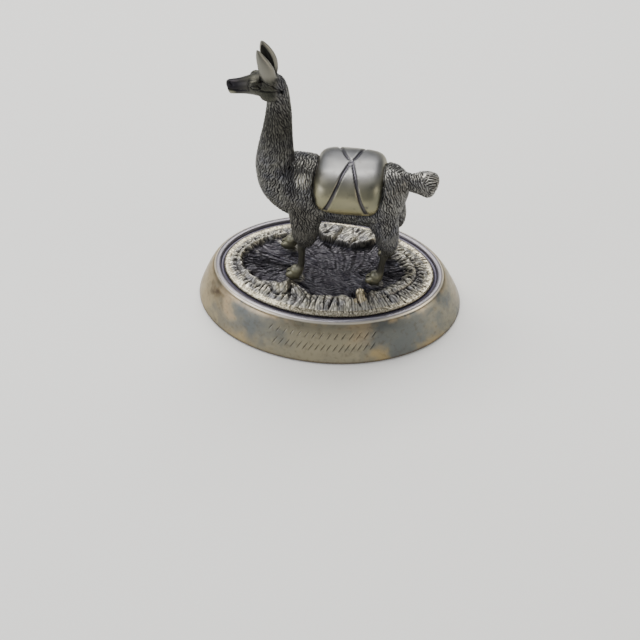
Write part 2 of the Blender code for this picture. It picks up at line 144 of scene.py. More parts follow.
def wrapped_grid(name, rings, sides):
    """A grid whose first and last columns meet, so that its rows are closed rings. Its ends are open."""
    bpy.ops.mesh.primitive_grid_add(x_subdivisions=sides, y_subdivisions=rings - 1, size=1.0)
    obj = bpy.context.object
    obj.name = name
    return obj


def shape_rings(obj, places, rings, sides):
    """Puts a wrapped grid's points on their rings, joins the seam and closes both ends."""
    looped = np.concatenate([places, places[:, :1]], axis=1)
    obj.data.vertices.foreach_set("co", (looped * MM).ravel())
    obj.data.update()
    bm = bmesh.new()
    bm.from_mesh(obj.data)
    bm.verts.ensure_lookup_table()
    columns = sides + 1
    weld = {bm.verts[r * columns + sides]: bm.verts[r * columns] for r in range(rings)}
    bmesh.ops.weld_verts(bm, targetmap=weld)
    bmesh.ops.holes_fill(bm, edges=[e for e in bm.edges if e.is_boundary], sides=0)
    bmesh.ops.recalc_face_normals(bm, faces=bm.faces)
    bm.to_mesh(obj.data)
    bm.free()
    obj.data.shade_smooth()


def smooth_path(stations, steps):
    """Stations joined by a Catmull-Rom curve, each value running smoothly to the next."""
    stations = np.array(stations, float)
    ends = np.concatenate([stations[:1], stations, stations[-1:]])
    rows = []
    for i in range(1, len(ends) - 2):
        a, b, c, d = ends[i - 1:i + 3]
        for k in range(steps):
            t = k / steps
            rows.append(0.5 * (2 * b + (c - a) * t + (2 * a - 5 * b + 4 * c - d) * t ** 2
                               + (3 * b - a - 3 * c + d) * t ** 3))
    rows.append(stations[-1])
    return np.array(rows)


def ease(low, high, value):
    """0 below low, 1 above high, and an even slope between."""
    t = np.clip((value - low) / (high - low), 0.0, 1.0)
    return t * t * (3 - 2 * t)


def point_values(obj):
    """Places in millimetres and normals of an object's points, as two tables."""
    count = len(obj.data.vertices)
    place, normal = np.empty(count * 3), np.empty(count * 3)
    obj.data.vertices.foreach_get("co", place)
    obj.data.vertex_normals.foreach_get("vector", normal)
    return place.reshape(count, 3) / MM, normal.reshape(count, 3)


def set_places(obj, place):
    obj.data.vertices.foreach_set("co", (place * MM).ravel())
    obj.data.update()


def store(obj, name, values):
    """Keeps one number a point, for the material to read."""
    layer = obj.data.attributes.new(name, "FLOAT", "POINT")
    layer.data.foreach_set("value", np.clip(values, 0, 1).astype(np.float32))


# Each point of the profile is an inset from the foot and a height.
BAND_STATIONS = ((0.0, 0.35), (0.35, 1.5), (1.15, 3.7), (2.1, 6.0), (2.75, 7.3), (3.2, 7.95), (3.5, 8.2))
BEAD_MIDDLE = (4.25, 8.15)
BEAD_REACH = (0.68, 0.50)
BEAD_ROWS = 14
band = smooth_path(BAND_STATIONS, 12)
bead = [(BEAD_MIDDLE[0] - BEAD_REACH[0] * math.cos(a), BEAD_MIDDLE[1] + BEAD_REACH[1] * math.sin(a))
        for a in np.linspace(0.35, 3.14, BEAD_ROWS)]
profile = [(1.6, 0.0), (0.5, 0.0), (0.2, 0.08), (0.03, 0.22), *band.tolist()]
RIM_ROWS = len(profile) + len(bead)
profile += bead + [(POCKET_INSET, 8.1), (5.0, 8.04), (5.15, 8.0), (DISC_INSET - 0.02, 8.0)]
profile += [(DISC_INSET - 0.01, POCKET_FLOOR), (9.0, POCKET_FLOOR)]
wave = np.arange(PLINTH_SIDES) * 2 * math.pi / PLINTH_SIDES
angles = wave - FRONT_SHARE * np.cos(wave)
places = np.zeros((len(profile), PLINTH_SIDES, 3))
for row, (inset, height) in zip(places, profile):
    row[:, 0], row[:, 1] = oval(inset, angles)
    row[:, 2] = height
plinth = wrapped_grid("oval_plinth", len(profile), PLINTH_SIDES)
shape_rings(plinth, places, len(profile), PLINTH_SIDES)

place, normal = point_values(plinth)
engraved = np.zeros(len(place))
front = (place[:, 1] < -12) & (np.abs(normal[:, 2]) < 0.9)
random = np.random.default_rng(2)
for height, tall, count, first, last in STROKE_ROWS:
    for k in range(count):
        middle = first + (last - first) * k / (count - 1) + random.uniform(-0.08, 0.08)
        long = tall * random.uniform(0.85, 1.1)
        climb = (place[:, 2] - height) * 1.1
        lean = place[:, 0] - middle - climb * STROKE_SLANT
        taper = np.clip(1 - (2 * climb / long) ** 2, 0, 1)
        share = np.clip(1 - np.abs(lean) / (STROKE_HALF_WIDTH * (0.5 + 0.5 * taper)), 0, 1) * np.sqrt(taper)
        engraved = np.maximum(engraved, share * front)
place -= normal * (engraved * STROKE_DEPTH)[:, None]
set_places(plinth, place)
store(plinth, "groove", np.sqrt(engraved))
row_of = np.arange(len(place)) // PLINTH_SIDES
bead_row = RIM_ROWS - BEAD_ROWS + 1
store(plinth, "recess", ease(RIM_ROWS - 4, RIM_ROWS - 1, row_of))
store(plinth, "bead", ease(bead_row, bead_row + 3, row_of))
store(plinth, "bead_highlight_edge", np.clip(1 - np.abs(row_of - bead_row) / 2.5, 0, 1))


def blotch(tree, coords, centre, reach, soft=0.75):
    """1 inside a stain round a place on the object, 0 outside it, with a soft edge."""
    away = put(tree, "ShaderNodeVectorMath", {"operation": "DISTANCE"},
               {0: coords, 1: tuple(v * MM for v in centre)})
    return put(tree, "ShaderNodeMapRange", {"interpolation_type": "SMOOTHSTEP"},
               {"Value": away.outputs["Value"], 1: reach * (1 + soft) * MM, 2: reach * (1 - soft) * MM,
                3: 0.0, 4: 1.0}).outputs[0]


def blend_colour(tree, share, below, above):
    """Mixes two colours, each a hex code or a socket."""
    ends = {6: below, 7: above}
    ends = {key: linear(value) if isinstance(value, str) else value for key, value in ends.items()}
    return put(tree, "ShaderNodeMix", {"data_type": "RGBA"}, {0: share, **ends}).outputs[2]


def speckle(tree, coords, size, low, high, detail=3.0):
    """Soft cloudy patches of a size in millimetres, from 0 to 1 between two levels of the noise."""
    cloud = put(tree, "ShaderNodeTexNoise", {},
                {"Vector": coords, "Scale": 1 / (size * MM), "Detail": detail})
    return put(tree, "ShaderNodeMapRange", {}, {"Value": cloud.outputs[0], 1: low, 2: high}).outputs[0]


def height_share(tree, coords, low, high):
    """0 below one height on the object, 1 above another, both in millimetres."""
    parts = put(tree, "ShaderNodeSeparateXYZ", {}, {0: coords})
    return put(tree, "ShaderNodeMapRange", {},
               {"Value": parts.outputs["Z"], 1: low * MM, 2: high * MM}).outputs[0]


def stored(tree, name):
    return put(tree, "ShaderNodeAttribute", {"attribute_name": name}, {}).outputs["Fac"]


def product(tree, one, other):
    return put(tree, "ShaderNodeMath", {"operation": "MULTIPLY"}, {0: one, 1: other}).outputs[0]


# Silver sheet, satin from handling: patches of golden sulphide tarnish over grey, orange under the rim,
# a painted lilac highlight on the front of the bead, a painted cream highlight along its outer edge,
# a painted contact shadow along the foot, and dull purple-black dirt in the groove inside the bead.
SATIN_GREY = "#666967"
SATIN_BEIGE = "#928B76"
GOLD_TARNISH = "#9A8A68"
BROWN_STAIN_AND_FOOT_SHADE = "#54483A"
RIM_ORANGE = "#A89678"
BEAD_EDGE_HIGHLIGHT_CREAM = "#F2E8D4"
BEAD_HIGHLIGHT_LILAC = "#A4A1A8"
SULPHIDE_AND_SHADE_BLACK = "#0F0E12"
PURPLE_BLACK = "#4C4858"
BEAD_DULL = "#6E6B70"
STAINS = (
    ((-25.0, 0.0, 3.5), 9.0, GOLD_TARNISH),
    ((-15.0, -14.0, 1.0), 4.5, GOLD_TARNISH),
    ((1.0, -17.5, 4.0), 9.0, SATIN_BEIGE),
    ((-14.4, -13.8, 5.2), 4.2, SATIN_GREY),
    ((-22.3, -7.0, 5.6), 1.9, BROWN_STAIN_AND_FOOT_SHADE),
    ((17.5, -12.6, 4.8), 7.2, SATIN_GREY),
    ((13.0, -16.4, 0.4), 2.4, GOLD_TARNISH),
    ((21.5, -11.0, 0.6), 2.6, GOLD_TARNISH),
    ((8.0, -15.4, 7.9), 2.6, RIM_ORANGE),
    ((20.0, -4.0, 8.0), 3.0, RIM_ORANGE),
    ((-20.0, -9.5, 7.6), 2.4, RIM_ORANGE),
    ((24.0, 8.0, 4.0), 6.0, GOLD_TARNISH),
    ((4.0, 17.0, 3.0), 7.0, GOLD_TARNISH),
    ((-14.0, 14.5, 6.0), 5.0, SATIN_GREY),
)
material, tree, shader = new_material("tarnished_sheet_silver")
coords = put(tree, "ShaderNodeTexCoord", {}, {}).outputs["Object"]
swirl = put(tree, "ShaderNodeTexNoise", {}, {"Vector": coords, "Scale": 1 / (5.0 * MM), "Detail": 3.0})
centred = put(tree, "ShaderNodeVectorMath", {"operation": "SUBTRACT"},
              {0: swirl.outputs["Color"], 1: (0.5, 0.5, 0.5)})
bent = put(tree, "ShaderNodeVectorMath", {"operation": "MULTIPLY_ADD"},
           {0: centred.outputs[0], 1: (12 * MM, 12 * MM, 12 * MM), 2: coords}).outputs[0]
colour = blend_colour(tree, speckle(tree, bent, 6.0, 0.38, 0.62), SATIN_GREY, SATIN_BEIGE)
for centre, reach, stain in STAINS:
    colour = blend_colour(tree, blotch(tree, bent, centre, reach), colour, stain)
under_rim = product(tree, height_share(tree, coords, 7.2, 8.0), speckle(tree, coords, 4.0, 0.45, 0.6))
colour = blend_colour(tree, under_rim, colour, RIM_ORANGE)
fleck = speckle(tree, coords, 0.9, 0.52, 0.72, 6.0)
colour = blend_colour(tree, product(tree, fleck, 0.35), colour, BROWN_STAIN_AND_FOOT_SHADE)
# Painted highlight: the front of the bead is lighter and lilac, and it dulls towards the sides and back.
bead_front_highlight = blend_colour(tree, blotch(tree, coords, (2.0, -16.0, 8.4), 12.0), BEAD_DULL, BEAD_HIGHLIGHT_LILAC)
colour = blend_colour(tree, stored(tree, "bead"), colour, bead_front_highlight)
# Painted highlight: a cream line along the bead's outer edge.
colour = blend_colour(tree, stored(tree, "bead_highlight_edge"), colour, BEAD_EDGE_HIGHLIGHT_CREAM)
# Painted contact shadow: brown darkening along the foot, where the plinth meets the floor.
colour = blend_colour(tree, height_share(tree, coords, 0.75, 0.2), colour, BROWN_STAIN_AND_FOOT_SHADE)
colour = blend_colour(tree, product(tree, stored(tree, "groove"), 0.85), colour, SULPHIDE_AND_SHADE_BLACK)
colour = blend_colour(tree, stored(tree, "recess"), colour, PURPLE_BLACK)
tree.links.new(colour, shader.inputs["Base Color"])
bright = put(tree, "ShaderNodeMapRange", {}, {"Value": stored(tree, "recess"), 3: 1.0, 4: 0.2})
tree.links.new(bright.outputs[0], shader.inputs["Metallic"])
rough = put(tree, "ShaderNodeMapRange", {}, {"Value": speckle(tree, bent, 2.5, 0.3, 0.7), 3: 0.30, 4: 0.44})
tree.links.new(rough.outputs[0], shader.inputs["Roughness"])
plinth.data.materials.append(material)
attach(plinth, "root")
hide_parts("plinth")


# Ground: one cast disc of rocky grass, let into the plinth's pocket. A plain lip runs round it, then
# a ring of grass tufts chased with deep radial strokes, a ridge at each end, dark hollows and a slab
# of rock behind. The hollows are blackened, and the crests are worn back to pale silver.
LIP_HEIGHT = 8.6
LIP_WIDTH = 1.3
GROUND_LEVEL = 9.35
GROUND_SIDES = 760
OUTER_RINGS = 56
INNER_RINGS = 62
OUTER_WIDTH = 5.6
FORE_LEGS = ((-3.9, -6.7), (4.3, -9.0))
HIND_LEGS = ((-3.4, 9.6, 12.6), (4.3, 11.2, 13.2))
FEET = [leg[:2] for leg in FORE_LEGS + HIND_LEGS]


def mound(x, y, centre, reach, degrees=0.0):
    """A soft hill of height 1, as wide as its reach along and across."""
    turn = math.radians(degrees)
    dx, dy = x - centre[0], y - centre[1]
    along = dx * math.cos(turn) + dy * math.sin(turn)
    across = -dx * math.sin(turn) + dy * math.cos(turn)
    return np.exp(-(along / reach[0]) ** 2 - (across / reach[1]) ** 2)


def turf_edge(angle):
    """How far in from the disc's edge the light turf ends, and how strongly each end has its own ridge."""
    left, right = ease(0.35, 0.85, -np.cos(angle)), ease(0.35, 0.85, np.cos(angle))
    near = ease(0.55, 0.95, -np.sin(angle))
    return 3.7 + 2.2 * right + 0.2 * left + 1.5 * near, left, right


FAN_APEX = (-7.2, -4.7)
FAN_LOBES = ((-9.8, -7.3, 1.1, 0.85), (-7.65, -6.9, 0.6, 1.2), (-5.85, -7.1, 0.75, 0.9),
             (-4.2, -7.3, 0.25, 0.35), (-3.0, -6.9, 0.22, 0.3))
FAN_LOBE_LENGTH = 2.3
LOCK_PLACE = (7.7, -7.0)
LOCK_REACH = (1.0, 2.1)
LOCK_FOOT = (7.75, -8.5)
LOCK_FOOT_REACH = (1.4, 1.0)
LOCK_TURN = 14
LEDGE_FRONT = ((-3.6, 9.2), (-2.6, 7.3), (-0.5, 6.8), (1.0, 6.3), (4.0, 5.6), (6.6, 6.2), (8.4, 7.6),
               (9.2, 9.4))


def ridge(value, middle, width):
    """1 along a line, falling off to each side."""
    return np.exp(-((value - middle) / width) ** 2)


def fan_lobe(x, y, lobe):
    """One lobe of the fan of grass, which lies outwards from the fan's apex."""
    way = math.degrees(math.atan2(lobe[1] - FAN_APEX[1], lobe[0] - FAN_APEX[0]))
    return mound(x, y, lobe[:2], (FAN_LOBE_LENGTH, lobe[2]), way)


def gaps(x, y):
    """1 in the dark gaps round the fan of grass and beside the pale lock."""
    away = np.hypot(x - FAN_APEX[0], y - FAN_APEX[1])
    way = np.degrees(np.arctan2(y - FAN_APEX[1], x - FAN_APEX[0]))
    arc = np.exp(-((away - 4.7 - 0.4 * np.sin(0.09 * way)) / 0.28) ** 2)
    round_fan = arc * ease(-158, -148, way) * ease(-62, -72, way)
    cleft = mound(x, y, (-6.75, -8.0), (0.27, 2.2))
    beside = [mound(x, y, (LOCK_PLACE[0] + step, LOCK_PLACE[1] - 0.2), (0.22, 2.1), LOCK_TURN)
              for step in (-1.45, 1.45)]
    return np.clip(np.maximum(np.maximum(round_fan, cleft), np.maximum(*beside)), 0, 1)


def ground_height(x, y, inset, angle):
    edge, left, right = turf_edge(angle)
    edge = edge + 0.25 * np.sin(31 * angle) + 0.2 * np.sin(17 * angle + 1)
    z = LIP_HEIGHT - 0.25 * ease(0.35, 0.0, inset) + 0.7 * ease(LIP_WIDTH * 0.85, LIP_WIDTH + 1.3, inset)
    z += 0.14 * np.sin(41 * angle + 1.3 * inset) * ease(1.0, 2.0, inset)
    z -= 0.5 * right * ridge(inset, 3.45, 0.24) + 0.35 * left * ridge(inset, 2.45, 0.22)
    z += 0.55 * right * ridge(inset, 4.6, 0.9) + 0.6 * left * ridge(inset, 3.35, 0.45)
    z -= 0.95 * ease(edge - 0.5, edge + 0.6, inset)
    inside = ease(5.0, 7.0, inset)
    z += 0.12 * inside * np.sin(0.9 * x + 1.9 * y) + 0.05 * inside * np.sin(4.6 * y + 1.2 * np.sin(1.1 * x))
    for centre, reach, degrees, rise in (
        ((12.6, 0.4), (2.2, 3.4), 0, -0.2),
        ((-10.2, 1.0), (3.0, 1.8), 0, -0.35),
        ((7.0, 2.4), (3.4, 1.5), 0, -0.4),
        ((-15.2, 2.2), (0.9, 1.5), 20, 0.75),
        ((-13.6, 0.3), (1.0, 0.8), 30, 0.5),
        ((-15.4, -2.6), (0.8, 1.5), -20, 0.5),
        ((1.0, 1.5), (3.4, 2.6), -20, 0.2),
        ((-11.0, 5.6), (2.4, 1.1), -20, 0.7),
        ((-7.3, -7.6), (3.6, 2.3), 0, 0.75),
        (LOCK_PLACE, LOCK_REACH, LOCK_TURN, 1.0),
        (LOCK_FOOT, LOCK_FOOT_REACH, LOCK_TURN, 0.3),
        ((9.9, -6.9), (0.5, 1.6), 12, 0.5),
        ((5.8, -6.2), (0.4, 1.4), -30, 0.4),
    ):
        z += rise * mound(x, y, centre, reach, degrees)
    for lobe in FAN_LOBES:
        z += lobe[3] * fan_lobe(x, y, lobe)
    z -= 0.65 * gaps(x, y)
    front_x, front_y = zip(*LEDGE_FRONT)
    ledge = ease(0.0, 0.5, y - np.interp(x, front_x, front_y)) * ease(0.6, 2.4, inset)
    ledge *= ease(-3.9, -3.2, x) * ease(9.4, 8.7, x)
    top = 2.45 - 0.55 * ridge(x, 2.4, 2.6) - 0.10 * np.maximum(x - 4.0, 0.0) - 0.12 * np.maximum(y - 7.5, 0.0)
    top -= 0.9 * np.exp(-((x - 0.3 - 0.35 * (y - 7)) / 0.35) ** 2)
    top -= 0.6 * np.exp(-((x - 3.6 - 0.6 * (y - 6)) / 0.3) ** 2)
    top += 0.10 * np.sin(1.6 * x - 2.2 * y) + 0.06 * np.sin(3.3 * x - 2.6 * y)
    z += (top - np.maximum(z - 8.35, 0.0)) * ledge
    for foot_y, foot_x in FEET:
        pad = np.minimum(1.0, 1.7 * mound(x, y, (foot_x + 0.5, foot_y), (2.1, 1.25 + 0.15 * (foot_x < 0))))
        z += (GROUND_LEVEL - z) * pad
    return z


def point_tree(place):
    """The points filed by place, so that those near a stroke are found at once."""
    tree = kdtree.KDTree(len(place))
    for i, point in enumerate(place):
        tree.insert(point, i)
    tree.balance()
    return tree


def strike(place, normal, tree, depths, centre, facing, along, length, half_width, depth, bend):
    """Sinks one chasing stroke into the table of depths, and says which points lie round it."""
    near = np.array([item[1] for item in tree.find_range(centre, length * 0.62)], int)
    offset = place[near] - centre
    side = np.cross(facing, along)
    far = offset @ along
    wide = offset @ side + bend * (far / length) ** 2 * length - bend * length * 0.1
    lengthwise = np.clip(1 - (2 * far / length) ** 4, 0, 1)
    crosswise = np.clip(1 - np.abs(wide / half_width) ** 1.6, 0, 1)
    facing_it = (normal[near] @ facing) > 0.35
    depths[near] = np.maximum(depths[near], depth * lengthwise * crosswise * facing_it)
    return near, far, wide


def comb(place, normal, tree, guide, strength, pitch, length, depth, seed, links=1):
    """Covers a surface with strokes that follow a guide, none nearer its neighbour than the pitch.

    Strength runs from 0, bare skin, to 1, the full depth. A wavy stroke is a chain of short links."""
    random = np.random.default_rng(seed)
    depths = np.zeros(len(place))
    taken = strength < 0.08
    for i in random.permutation(len(place)):
        if taken[i]:
            continue
        wobble, bend = random.normal(0, 0.09), random.normal(0, 0.08 / links)
        long, half_width = length * random.uniform(0.8, 1.25), pitch * random.uniform(0.38, 0.48)
        deep = depth * strength[i] * random.uniform(0.7, 1.15)
        taken[i] = True
        at, before = i, None
        for link in range(links):
            facing = normal[at]
            along = guide[at] - facing * (guide[at] @ facing)
            size = np.linalg.norm(along)
            if size < 0.15 or strength[at] < 0.08:
                break
            along = along / size * math.cos(wobble) + np.cross(facing, along / size) * math.sin(wobble)
            if before is not None and along @ before < 0:
                along = -along
            near, far, wide = strike(place, normal, tree, depths, place[at], facing, along, long,
                                     half_width, deep, bend)
            taken[near] |= (np.abs(wide) < pitch * 0.8) & (np.abs(far) < long * 0.44)
            before = along
            at = tree.find(place[at] + along * long * 0.6)[1]
            if taken[at]:
                break
    return depths


def ground_guide(place):
    """The way the grass lies: outwards from the middle, along X on the floor, and in fans by two feet."""
    x, y = place[:, 0], place[:, 1]
    outward = np.stack([x / PLINTH_LENGTH ** 2, y / PLINTH_WIDTH ** 2, 0 * x], axis=1)
    outward /= np.maximum(np.linalg.norm(outward, axis=1), 1e-9)[:, None]
    radius = np.hypot(x / 21.5, y / 12.9)
    wave = 0.35 * np.sin(0.9 * x + 1.1 * y)
    level = np.stack([np.cos(wave), np.sin(wave), 0 * x], axis=1)
    outward *= np.where((outward * level).sum(axis=1) < 0, -1.0, 1.0)[:, None]
    share = ease(0.60, 0.82, radius)[:, None]
    guide = level * (1 - share) + outward * share
    for apex, centre, reach in ((FAN_APEX, (-6.8, -7.6), 3.0), ((8.2, -3.2), (8.0, -6.6), 2.4)):
        fan = np.stack([x - apex[0], y - apex[1], 0 * x], axis=1)
        fan /= np.maximum(np.linalg.norm(fan, axis=1), 1e-9)[:, None]
        near = np.exp(-((x - centre[0]) ** 2 + (y - centre[1]) ** 2) / reach ** 2)[:, None]
        guide = guide * (1 - near) + fan * near
    slant = np.stack([np.full(len(x), 0.64), np.full(len(x), 0.77), 0 * x], axis=1)
    on_ledge = (ease(5.2, 5.8, y) * ease(-4.2, -3.4, x) * ease(9.8, 9.2, x))[:, None]
    return guide * (1 - on_ledge) + slant * on_ledge


rings = 3 + OUTER_RINGS + INNER_RINGS
angles = np.arange(GROUND_SIDES) * 2 * math.pi / GROUND_SIDES
places = np.zeros((rings, GROUND_SIDES, 3))
insets = np.zeros((rings, GROUND_SIDES))
for r in range(3):
    places[r, :, 0], places[r, :, 1] = oval(DISC_INSET, angles)
    places[r, :, 2] = (POCKET_FLOOR + 0.02, 7.4, LIP_HEIGHT - 0.35)[r]
for r in range(OUTER_RINGS):
    inset = 0.02 + (OUTER_WIDTH - 0.02) * r / (OUTER_RINGS - 1)
    insets[3 + r] = inset
    places[3 + r, :, 0], places[3 + r, :, 1] = oval(DISC_INSET + inset, angles)
last_ring = places[2 + OUTER_RINGS]
room = PLINTH_WIDTH / 2 - DISC_INSET - OUTER_WIDTH
for r in range(INNER_RINGS):
    share = (r + 1) / INNER_RINGS
    insets[3 + OUTER_RINGS + r] = OUTER_WIDTH + room * share
    places[3 + OUTER_RINGS + r] = last_ring * (1 - share * 0.5, 1 - share * 0.996, 1)
top = places[3:]
spun = np.broadcast_to(angles, insets.shape)
top[:, :, 2] = ground_height(top[:, :, 0], top[:, :, 1], insets[3:], spun[3:])
ground = wrapped_grid("grass_disc", rings, GROUND_SIDES)
shape_rings(ground, places, rings, GROUND_SIDES)

# The innermost ring is a narrow slit. Its one large face gives way to a row of small ones.
bm = bmesh.new()
bm.from_mesh(ground.data)
bm.verts.ensure_lookup_table()
slit = bm.verts[(rings - 1) * GROUND_SIDES:]
lids = [face for face in slit[0].link_faces if len(face.verts) > 4]
bmesh.ops.delete(bm, geom=lids, context="FACES_ONLY")
half = GROUND_SIDES // 2
for k in range(half):
    corners = dict.fromkeys((slit[k], slit[k + 1], slit[-k - 1], slit[-k]))
    bm.faces.new(corners)
bmesh.ops.recalc_face_normals(bm, faces=bm.faces)
bm.to_mesh(ground.data)
bm.free()
ground.data.shade_smooth()

place, normal = point_values(ground)
tree = point_tree(place)
upward = normal[:, 2] > 0.15
rim_x, rim_y = place[:, 0] / (PLINTH_LENGTH / 2 - DISC_INSET), place[:, 1] / (PLINTH_WIDTH / 2 - DISC_INSET)
reach = np.hypot(rim_x, rim_y)
guide = ground_guide(place)
random = np.random.default_rng(7)
tufts = np.zeros(len(place))
cuts = []
TUFT_STROKES = 94


def radial(angle, inset):
    """A place on the disc and the way outwards there."""
    x, y = oval(DISC_INSET + inset, np.array([angle]))
    return (x[0], y[0]), np.array([x[0] / PLINTH_LENGTH ** 2, y[0] / PLINTH_WIDTH ** 2, 0.0])


for k in range(TUFT_STROKES):
    angle = 2 * math.pi * (k + random.uniform(-0.22, 0.22)) / TUFT_STROKES
    edge, left, right = [float(value) for value in turf_edge(np.array([angle]))[:3]]
    outer_end = edge - right * 2.5 - left * 1.5
    first = LIP_WIDTH + 0.1 + random.uniform(0.1, 0.7) * (1 - 0.8 * left)
    last = max(outer_end + random.uniform(-0.3, 0.3), first + 0.7)
    cuts.append((*radial(angle, (first + last) / 2), (last - first) * 1.1, 0.16))
    if left + right > 0.3:
        turned = angle + 0.4 * 2 * math.pi / TUFT_STROKES
        last = edge + random.uniform(0.0, 0.5)
        cuts.append((*radial(turned, (outer_end + 0.35 + last) / 2), (last - outer_end - 0.35) * 1.1, 0.16))
lobe_ways = [math.atan2(lobe[1] - FAN_APEX[1], lobe[0] - FAN_APEX[0]) for lobe in FAN_LOBES]
for way, next_way in zip([lobe_ways[0] - 0.35, *lobe_ways], [*lobe_ways, lobe_ways[-1] + 0.35]):
    along = np.array([math.cos((way + next_way) / 2), math.sin((way + next_way) / 2), 0.0])
    cuts.append(((FAN_APEX[0] + 3.0 * along[0], FAN_APEX[1] + 3.0 * along[1]), along, 4.4, 0.03))
for step in (-0.45, 0.1, 0.65):
    cuts.append(((-3.0 + step, -8.2 + step), np.array([0.71, -0.71, 0.0]), 4.8, 0.03))
for step in (-0.55, 0.35):
    cuts.append(((LOCK_PLACE[0] + step, LOCK_PLACE[1] - 0.6), np.array([0.2 * step, -1.0, 0.0]), 2.2, 0.05))
LEDGE_CUTS = 17
for k in range(LEDGE_CUTS):
    x = -3.0 + 11.6 * k / (LEDGE_CUTS - 1)
    front_x, front_y = zip(*LEDGE_FRONT)
    y = np.interp(x, front_x, front_y) + random.uniform(0.7, 1.5)
    steep = math.radians(25 + 35 * math.exp(-((x - 1.8) / 2.4) ** 2))
    cuts.append(((x, y), np.array([math.cos(steep), math.sin(steep), 0.0]), random.uniform(1.6, 2.6), 0.08))
for spot, way, long, lean in cuts:
    index = tree.find((*spot, 9.2))[1]
    facing = normal[index]
    along = way - facing * (way @ facing)
    along /= np.linalg.norm(along)
    lean = random.normal(0.0, lean)
    along = along * math.cos(lean) + np.cross(facing, along) * math.sin(lean)
    strike(place, normal, tree, tufts, place[index], facing, along, long,
           random.uniform(0.17, 0.30), random.uniform(0.35, 0.6), random.normal(0, 0.15))
strength = upward * ease(0.98, 0.93, reach)
strength *= 0.2 + 0.8 * ease(LIP_WIDTH * 0.6, LIP_WIDTH + 0.3, insets.ravel())
BLADE_DEPTH = 0.18
blades = comb(place, normal, tree, guide, strength, 0.46, 1.1, BLADE_DEPTH, 11, 3)
rise = place[:, 2].copy()
place[:, 2] -= np.maximum(tufts, blades)
set_places(ground, place)
edge, left, right = turf_edge(spun.ravel())
ring = ease(edge + 0.3, edge - 0.5, insets.ravel())
ring *= 1 - 0.9 * np.maximum(right * ridge(insets.ravel(), 3.45, 0.3),
                             0.7 * left * ridge(insets.ravel(), 2.45, 0.28))
x, y = place[:, 0], place[:, 1]
worn = np.maximum(ring, ease(8.95, 9.5, rise))
# Painted shade: the high ground behind, on the ledge under the belly, is kept darker.
worn *= 1 - 0.32 * ease(5.2, 6.0, y) * (rise > 9.6)
near_foot = np.max([mound(x, y, (foot_x + 0.5, foot_y), (2.3, 1.5)) for foot_y, foot_x in FEET], axis=0)
out_of_gaps = 1 - 0.85 * gaps(x, y)
# Painted shade keeps the ground dark round each foot. The gaps round the fan and the lock stay dark too.
worn *= (1 - 0.8 * near_foot) * out_of_gaps
for lobe in FAN_LOBES[:3]:
    worn = np.maximum(worn, 0.9 * ease(0.2, 0.5, fan_lobe(x, y, lobe)) * out_of_gaps)
dark_edge = 0.8 * ease(0.16, 0.04, insets.ravel())
store(ground, "groove", np.maximum(np.maximum(blades / BLADE_DEPTH * 0.85, tufts / 0.42), dark_edge))
store(ground, "worn", worn)
store(ground, "lip", ease(LIP_WIDTH + 0.15, LIP_WIDTH - 0.1, insets.ravel()))
lock = np.maximum(mound(x, y, LOCK_PLACE, LOCK_REACH, LOCK_TURN),
                  mound(x, y, LOCK_FOOT, LOCK_FOOT_REACH, LOCK_TURN))
store(ground, "lock", ease(0.25, 0.5, lock))

# Cast silver, blackened with sulphide and rubbed back: pale cream crests over black hollows.
BASIN_GREY = "#57565A"
CREST_CREAM = "#CFCAB8"
WARM_CREAM = "#E2D3AE"
LIP_BROWN = "#797363"
LIP_CREAM = "#C6BEA8"
material, tree, shader = new_material("blackened_cast_silver")
coords = put(tree, "ShaderNodeTexCoord", {}, {}).outputs["Object"]
cream = blend_colour(tree, speckle(tree, coords, 2.2, 0.4, 0.62), CREST_CREAM, "#A9A7A4")
basin = blend_colour(tree, speckle(tree, coords, 1.6, 0.35, 0.65), "#38363B", BASIN_GREY)
colour = blend_colour(tree, stored(tree, "worn"), basin, cream)
colour = blend_colour(tree, stored(tree, "lock"), colour, WARM_CREAM)
grain = blend_colour(tree, speckle(tree, coords, 0.3, 0.42, 0.6, 2.0), LIP_BROWN, LIP_CREAM)
colour = blend_colour(tree, stored(tree, "lip"), colour, grain)
colour = blend_colour(tree, stored(tree, "groove"), colour, "#232127")
tree.links.new(colour, shader.inputs["Base Color"])
shader.inputs["Metallic"].default_value = 0.95
rough = put(tree, "ShaderNodeMapRange", {}, {"Value": stored(tree, "groove"), 3: 0.36, 4: 0.6})
tree.links.new(rough.outputs[0], shader.inputs["Roughness"])
ground.data.materials.append(material)
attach(ground, "root")
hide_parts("ground")


# Llama: one lost-wax casting in silver, soldered to the grass by its feet. Its fleece is chased with
# short wavy strokes, dark in the grooves and worn bright on the crests. Ears, face, shanks and feet
# are left smooth, an olive grey.
MID_Y = 0.2
BODY_AXIS = 31.3
FOOT_SOLE = GROUND_LEVEL - 0.12
VOXEL = 0.1
LLAMA_TRIANGLES = 190000


def limb(name, stations, sides=48, steps=8, upright=False):
    """A closed limb: each station is x, y, z, half width across Y, half depth in the XZ plane.

    Its rings stand square to the path, or all square to X where it is upright."""
    rows = smooth_path(stations, steps)
    centre, across, deep = rows[:, :3], np.maximum(rows[:, 3], 0.02), np.maximum(rows[:, 4], 0.02)
    along = np.gradient(centre, axis=0)
    if upright:
        along = np.tile([1.0, 0.0, 0.0], (len(rows), 1))
    along /= np.linalg.norm(along, axis=1)[:, None]
    side = np.array([0.0, 1.0, 0.0]) - along * along[:, 1:2]
    side /= np.linalg.norm(side, axis=1)[:, None]
    up = np.cross(along, side)
    angles = np.arange(sides) * 2 * math.pi / sides
    places = centre[:, None] + side[:, None] * (across[:, None] * np.cos(angles))[:, :, None]
    places += up[:, None] * (deep[:, None] * np.sin(angles))[:, :, None]
    obj = wrapped_grid(name, len(rows), sides)
    shape_rings(obj, places, len(rows), sides)
    return obj


